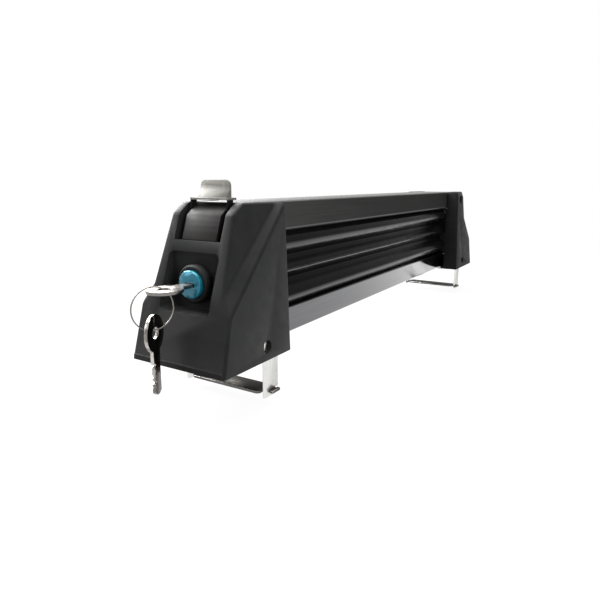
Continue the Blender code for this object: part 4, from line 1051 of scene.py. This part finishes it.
@dataclass
class Lock(Assembly):
    """The lock's boss, plug, cam and nut."""

    rounding: float = 0.0004

    def build(self) -> None:
        """Makes the lock."""
        self.shell("lock_barrel", self.finishes.boss, self.rounding, segments=3)
        self.shell("lock_plug", self.finishes.face, self.rounding, segments=3)
        for node in ("lock_nut", "lock_cam", "cam_screw"):
            self.shell(node, self.finishes.zinc, self.rounding / 2)


@dataclass
class Keys(Assembly):
    """The key in the lock, the split ring and the spare key."""

    rounding: float = 0.0004
    turns: float = 2.0
    wire: float = 0.00042
    wire_facets: int = 10
    wire_weld: float = 1e-7
    steps: int = 112
    side_turn: float = 0.5

    def build(self) -> None:
        """Makes the keys and the ring."""
        self.shell("key", self.finishes.key, self.rounding)
        self.bare_sides(self.shell("spare_key", self.finishes.spare, self.rounding))
        self.ring()

    def bare_sides(self, piece: bpy.types.Object) -> None:
        """Marks the cut side of a key, round its outline and along its bits, to keep paler nickel beside
        the painted dark reflection on its faces.

        Args:
            piece: The key.
        """
        flat = max(piece.data.polygons, key=lambda face: face.area).normal.copy()
        worn = piece.data.attributes[WORN].data
        for face in piece.data.polygons:
            if abs(face.normal.dot(flat)) < self.side_turn:
                worn[face.index].value = 1.0

    def ring(self) -> None:
        """The split ring: a flat coil of two turns in the plane of its node."""
        low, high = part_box("key_ring")
        middle = (low + high) / 2
        outer = (high.z - low.z) / 2
        joints = self.frame["record"]["behaviour"]["joints"]
        along = next(joint["axis"] for joint in joints if joint["name"] == "ring_swing")
        flat = math.atan2(along[1], along[0])
        bm = bmesh.new()
        bmesh.ops.create_circle(bm, segments=self.wire_facets, radius=self.wire)
        tip = Matrix.Rotation(math.pi / 2, 4, "X")
        stand = Matrix.Translation((outer - self.wire, 0.0, -self.wire)) @ tip
        bmesh.ops.transform(bm, matrix=stand, verts=bm.verts)
        count = round(self.steps * self.turns)
        bmesh.ops.spin(
            bm,
            geom=bm.verts[:] + bm.edges[:],
            cent=(0.0, 0.0, 0.0),
            axis=(0.0, 0.0, 1.0),
            dvec=(0.0, 0.0, 2.0 * self.wire / count),
            angle=math.tau * self.turns,
            steps=count,
            use_merge=False,
        )
        bmesh.ops.remove_doubles(bm, verts=bm.verts, dist=self.wire_weld)
        ends = [edge for edge in bm.edges if edge.is_boundary]
        bmesh.ops.holes_fill(bm, edges=ends, sides=self.wire_facets)
        bmesh.ops.recalc_face_normals(bm, faces=bm.faces)
        upright = Matrix.Translation(middle) @ Matrix.Rotation(flat, 4, "Z") @ tip
        bmesh.ops.transform(bm, matrix=upright, verts=bm.verts)
        self.stand_for(place_object("key_ring_coil", bm, self.finishes.nickel), "key_ring")


@dataclass
class Clamps(Assembly):
    """The straps, plates, nuts, bolts and washers at both ends."""

    rounding: float = 0.00035

    def build(self) -> None:
        """Makes both clamps."""
        for end in ("lock", "hinge"):
            self.shell(end + "_clamp_strap", self.finishes.sheet, self.rounding)
            self.shell(end + "_clamp_plate", self.finishes.plate, self.rounding)
            self.shell(end + "_clamp_bolt", self.finishes.zinc, self.rounding)
            self.shell(end + "_clamp_nut", self.finishes.zinc, self.rounding)
            self.shell(end + "_clamp_washer", self.finishes.zinc, self.rounding / 2)


@dataclass(frozen=True)
class Lamp:
    """A soft rectangular lamp: where it hangs, its width and height, its power and whether it mirrors."""

    name: str
    place: Point
    size: Span
    watts: float
    mirrored: bool = True


@dataclass
class Studio:
    """The floor, the soft lamps, the white surround and the camera."""

    camera_place: Point = (-0.2665, -0.234, 0.119)
    pan: float = 32.7
    dip: float = 12.6
    frame_pixels: float = 600.0
    focal_pixels: float = 528.0
    shift_pixels: float = 10.0
    sensor: float = 36.0
    nearest: float = 0.01
    lamps: tuple[Lamp, ...] = (
        Lamp("top_lamp", (0.25, 0.05, 1.6), (1.6, 1.2), 35.0),
        Lamp("back_lamp", (0.3, 1.2, 1.0), (1.6, 0.9), 90.0),
        Lamp("left_lamp", (-1.1, 1.0, 0.8), (1.0, 0.9), 8.0),
        Lamp("side_lamp", (-0.15, -0.36, 0.14), (0.2, 0.2), 1.7, mirrored=False),
    )
    aim: Point = (0.2, 0.0, 0.05)
    ambient: float = 0.17
    # The straps come 6 mm below their place at rest when the clamps open
    floor_drop: float = 0.0063
    floor_size: float = 8.0
    floor_ring: Span = (0.45, 1.3)
    floor_near: Colour = (0.06, 0.06, 0.06)
    floor_far: Colour = (0.0, 0.0, 0.0)
    floor_glow: Span = (0.94, 1.0)
    floor_roughness: float = 0.9

    def build(self) -> None:
        """Makes the studio round the rack."""
        self.surround()
        self.floor()
        for lamp in self.lamps:
            self.hang(lamp)
        self.camera()

    def camera(self) -> None:
        """Puts the camera at the photograph's viewing angle."""
        data = bpy.data.cameras.new("camera")
        data.sensor_width = self.sensor
        data.lens = self.sensor * (self.focal_pixels / self.frame_pixels)
        data.shift_x = self.shift_pixels / self.frame_pixels
        data.clip_start = self.nearest
        obj = bpy.data.objects.new("camera", data)
        bpy.context.scene.collection.objects.link(obj)
        pan = math.radians(self.pan)
        dip = math.radians(self.dip)
        ahead = Vector((math.cos(pan) * math.cos(dip), math.sin(pan) * math.cos(dip), -math.sin(dip)))
        obj.location = self.camera_place
        obj.rotation_mode = "QUATERNION"
        obj.rotation_quaternion = ahead.to_track_quat("-Z", "Y")
        bpy.context.scene.camera = obj

    def hang(self, lamp: Lamp) -> None:
        """Hangs a lamp that faces the rack's middle.

        Args:
            lamp: The lamp.
        """
        data = bpy.data.lights.new(lamp.name, "AREA")
        data.shape = "RECTANGLE"
        data.size, data.size_y = lamp.size
        data.energy = lamp.watts
        obj = bpy.data.objects.new(lamp.name, data)
        bpy.context.scene.collection.objects.link(obj)
        obj.location = lamp.place
        obj.rotation_mode = "QUATERNION"
        obj.rotation_quaternion = (Vector(self.aim) - Vector(lamp.place)).to_track_quat("-Z", "Y")
        obj.visible_glossy = lamp.mirrored

    def surround(self) -> None:
        """Makes the white surround, which lights the rack more softly than it looks."""
        world = bpy.data.worlds.new("surround")
        bpy.context.scene.world = world
        world.use_nodes = True
        tree = world.node_tree
        back = tree.nodes["Background"]
        back.inputs["Color"].default_value = (1.0, 1.0, 1.0, 1.0)
        path = tree.nodes.new("ShaderNodeLightPath")
        seen = path.outputs["Is Camera Ray"]
        for name in ("Is Glossy Ray", "Is Transmission Ray"):
            most = tree.nodes.new("ShaderNodeMath")
            most.operation = "MAXIMUM"
            tree.links.new(seen, most.inputs[0])
            tree.links.new(path.outputs[name], most.inputs[1])
            seen = most.outputs["Value"]
        level = tree.nodes.new("ShaderNodeMapRange")
        level.inputs["To Min"].default_value = self.ambient
        level.inputs["To Max"].default_value = 1.0
        tree.links.new(seen, level.inputs["Value"])
        tree.links.new(level.outputs["Result"], back.inputs["Strength"])
        bpy.context.scene.view_settings.view_transform = "Standard"

    def floor(self) -> None:
        """Lays the pale floor under the opened clamps; it glows white where it is seen or mirrored."""
        low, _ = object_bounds()
        bm = bmesh.new()
        bmesh.ops.create_grid(bm, x_segments=1, y_segments=1, size=self.floor_size)
        bmesh.ops.translate(bm, vec=(0.0, 0.0, low.z - self.floor_drop), verts=bm.verts)
        mesh = bpy.data.meshes.new("floor")
        bm.to_mesh(mesh)
        bm.free()
        graph = Graph("floor_white")
        reach = graph.add("ShaderNodeVectorMath", operation="LENGTH")
        graph.link(graph.place, reach.inputs[0])
        away = graph.remap(reach.outputs["Value"], self.floor_ring, WHOLE)
        graph.feed("Base Color", graph.blend(away, self.floor_near, self.floor_far))
        path = graph.add("ShaderNodeLightPath")
        seen = graph.add("ShaderNodeMath", operation="MAXIMUM")
        graph.link(path.outputs["Is Camera Ray"], seen.inputs[0])
        graph.link(path.outputs["Is Glossy Ray"], seen.inputs[1])
        glow = graph.times(graph.remap(away, WHOLE, self.floor_glow), seen.outputs["Value"])
        graph.feed("Emission Strength", glow)
        graph.set(Emission_Color=(1.0, 1.0, 1.0, 1.0))
        graph.set(Roughness=self.floor_roughness, Specular_IOR_Level=0.0)
        mesh.materials.append(graph.material)
        obj = bpy.data.objects.new("floor", mesh)
        bpy.context.scene.collection.objects.link(obj)
        obj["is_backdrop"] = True


def clear_start() -> None:
    """Removes what Blender opens with."""
    for old in list(bpy.data.objects):
        bpy.data.objects.remove(old)


def main() -> None:
    """Builds the studio and every sub-assembly's looks."""
    logging.basicConfig(level=logging.INFO, format="%(message)s")
    clear_start()
    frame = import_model()
    finishes = Finishes()
    Studio().build()
    for kind in (Towers, Rails, Pads, Latch, Lock, Keys, Clamps):
        kind(frame, finishes).build()
        LOG.info("%s done", kind.__name__)


if __name__ == "__main__":
    main()
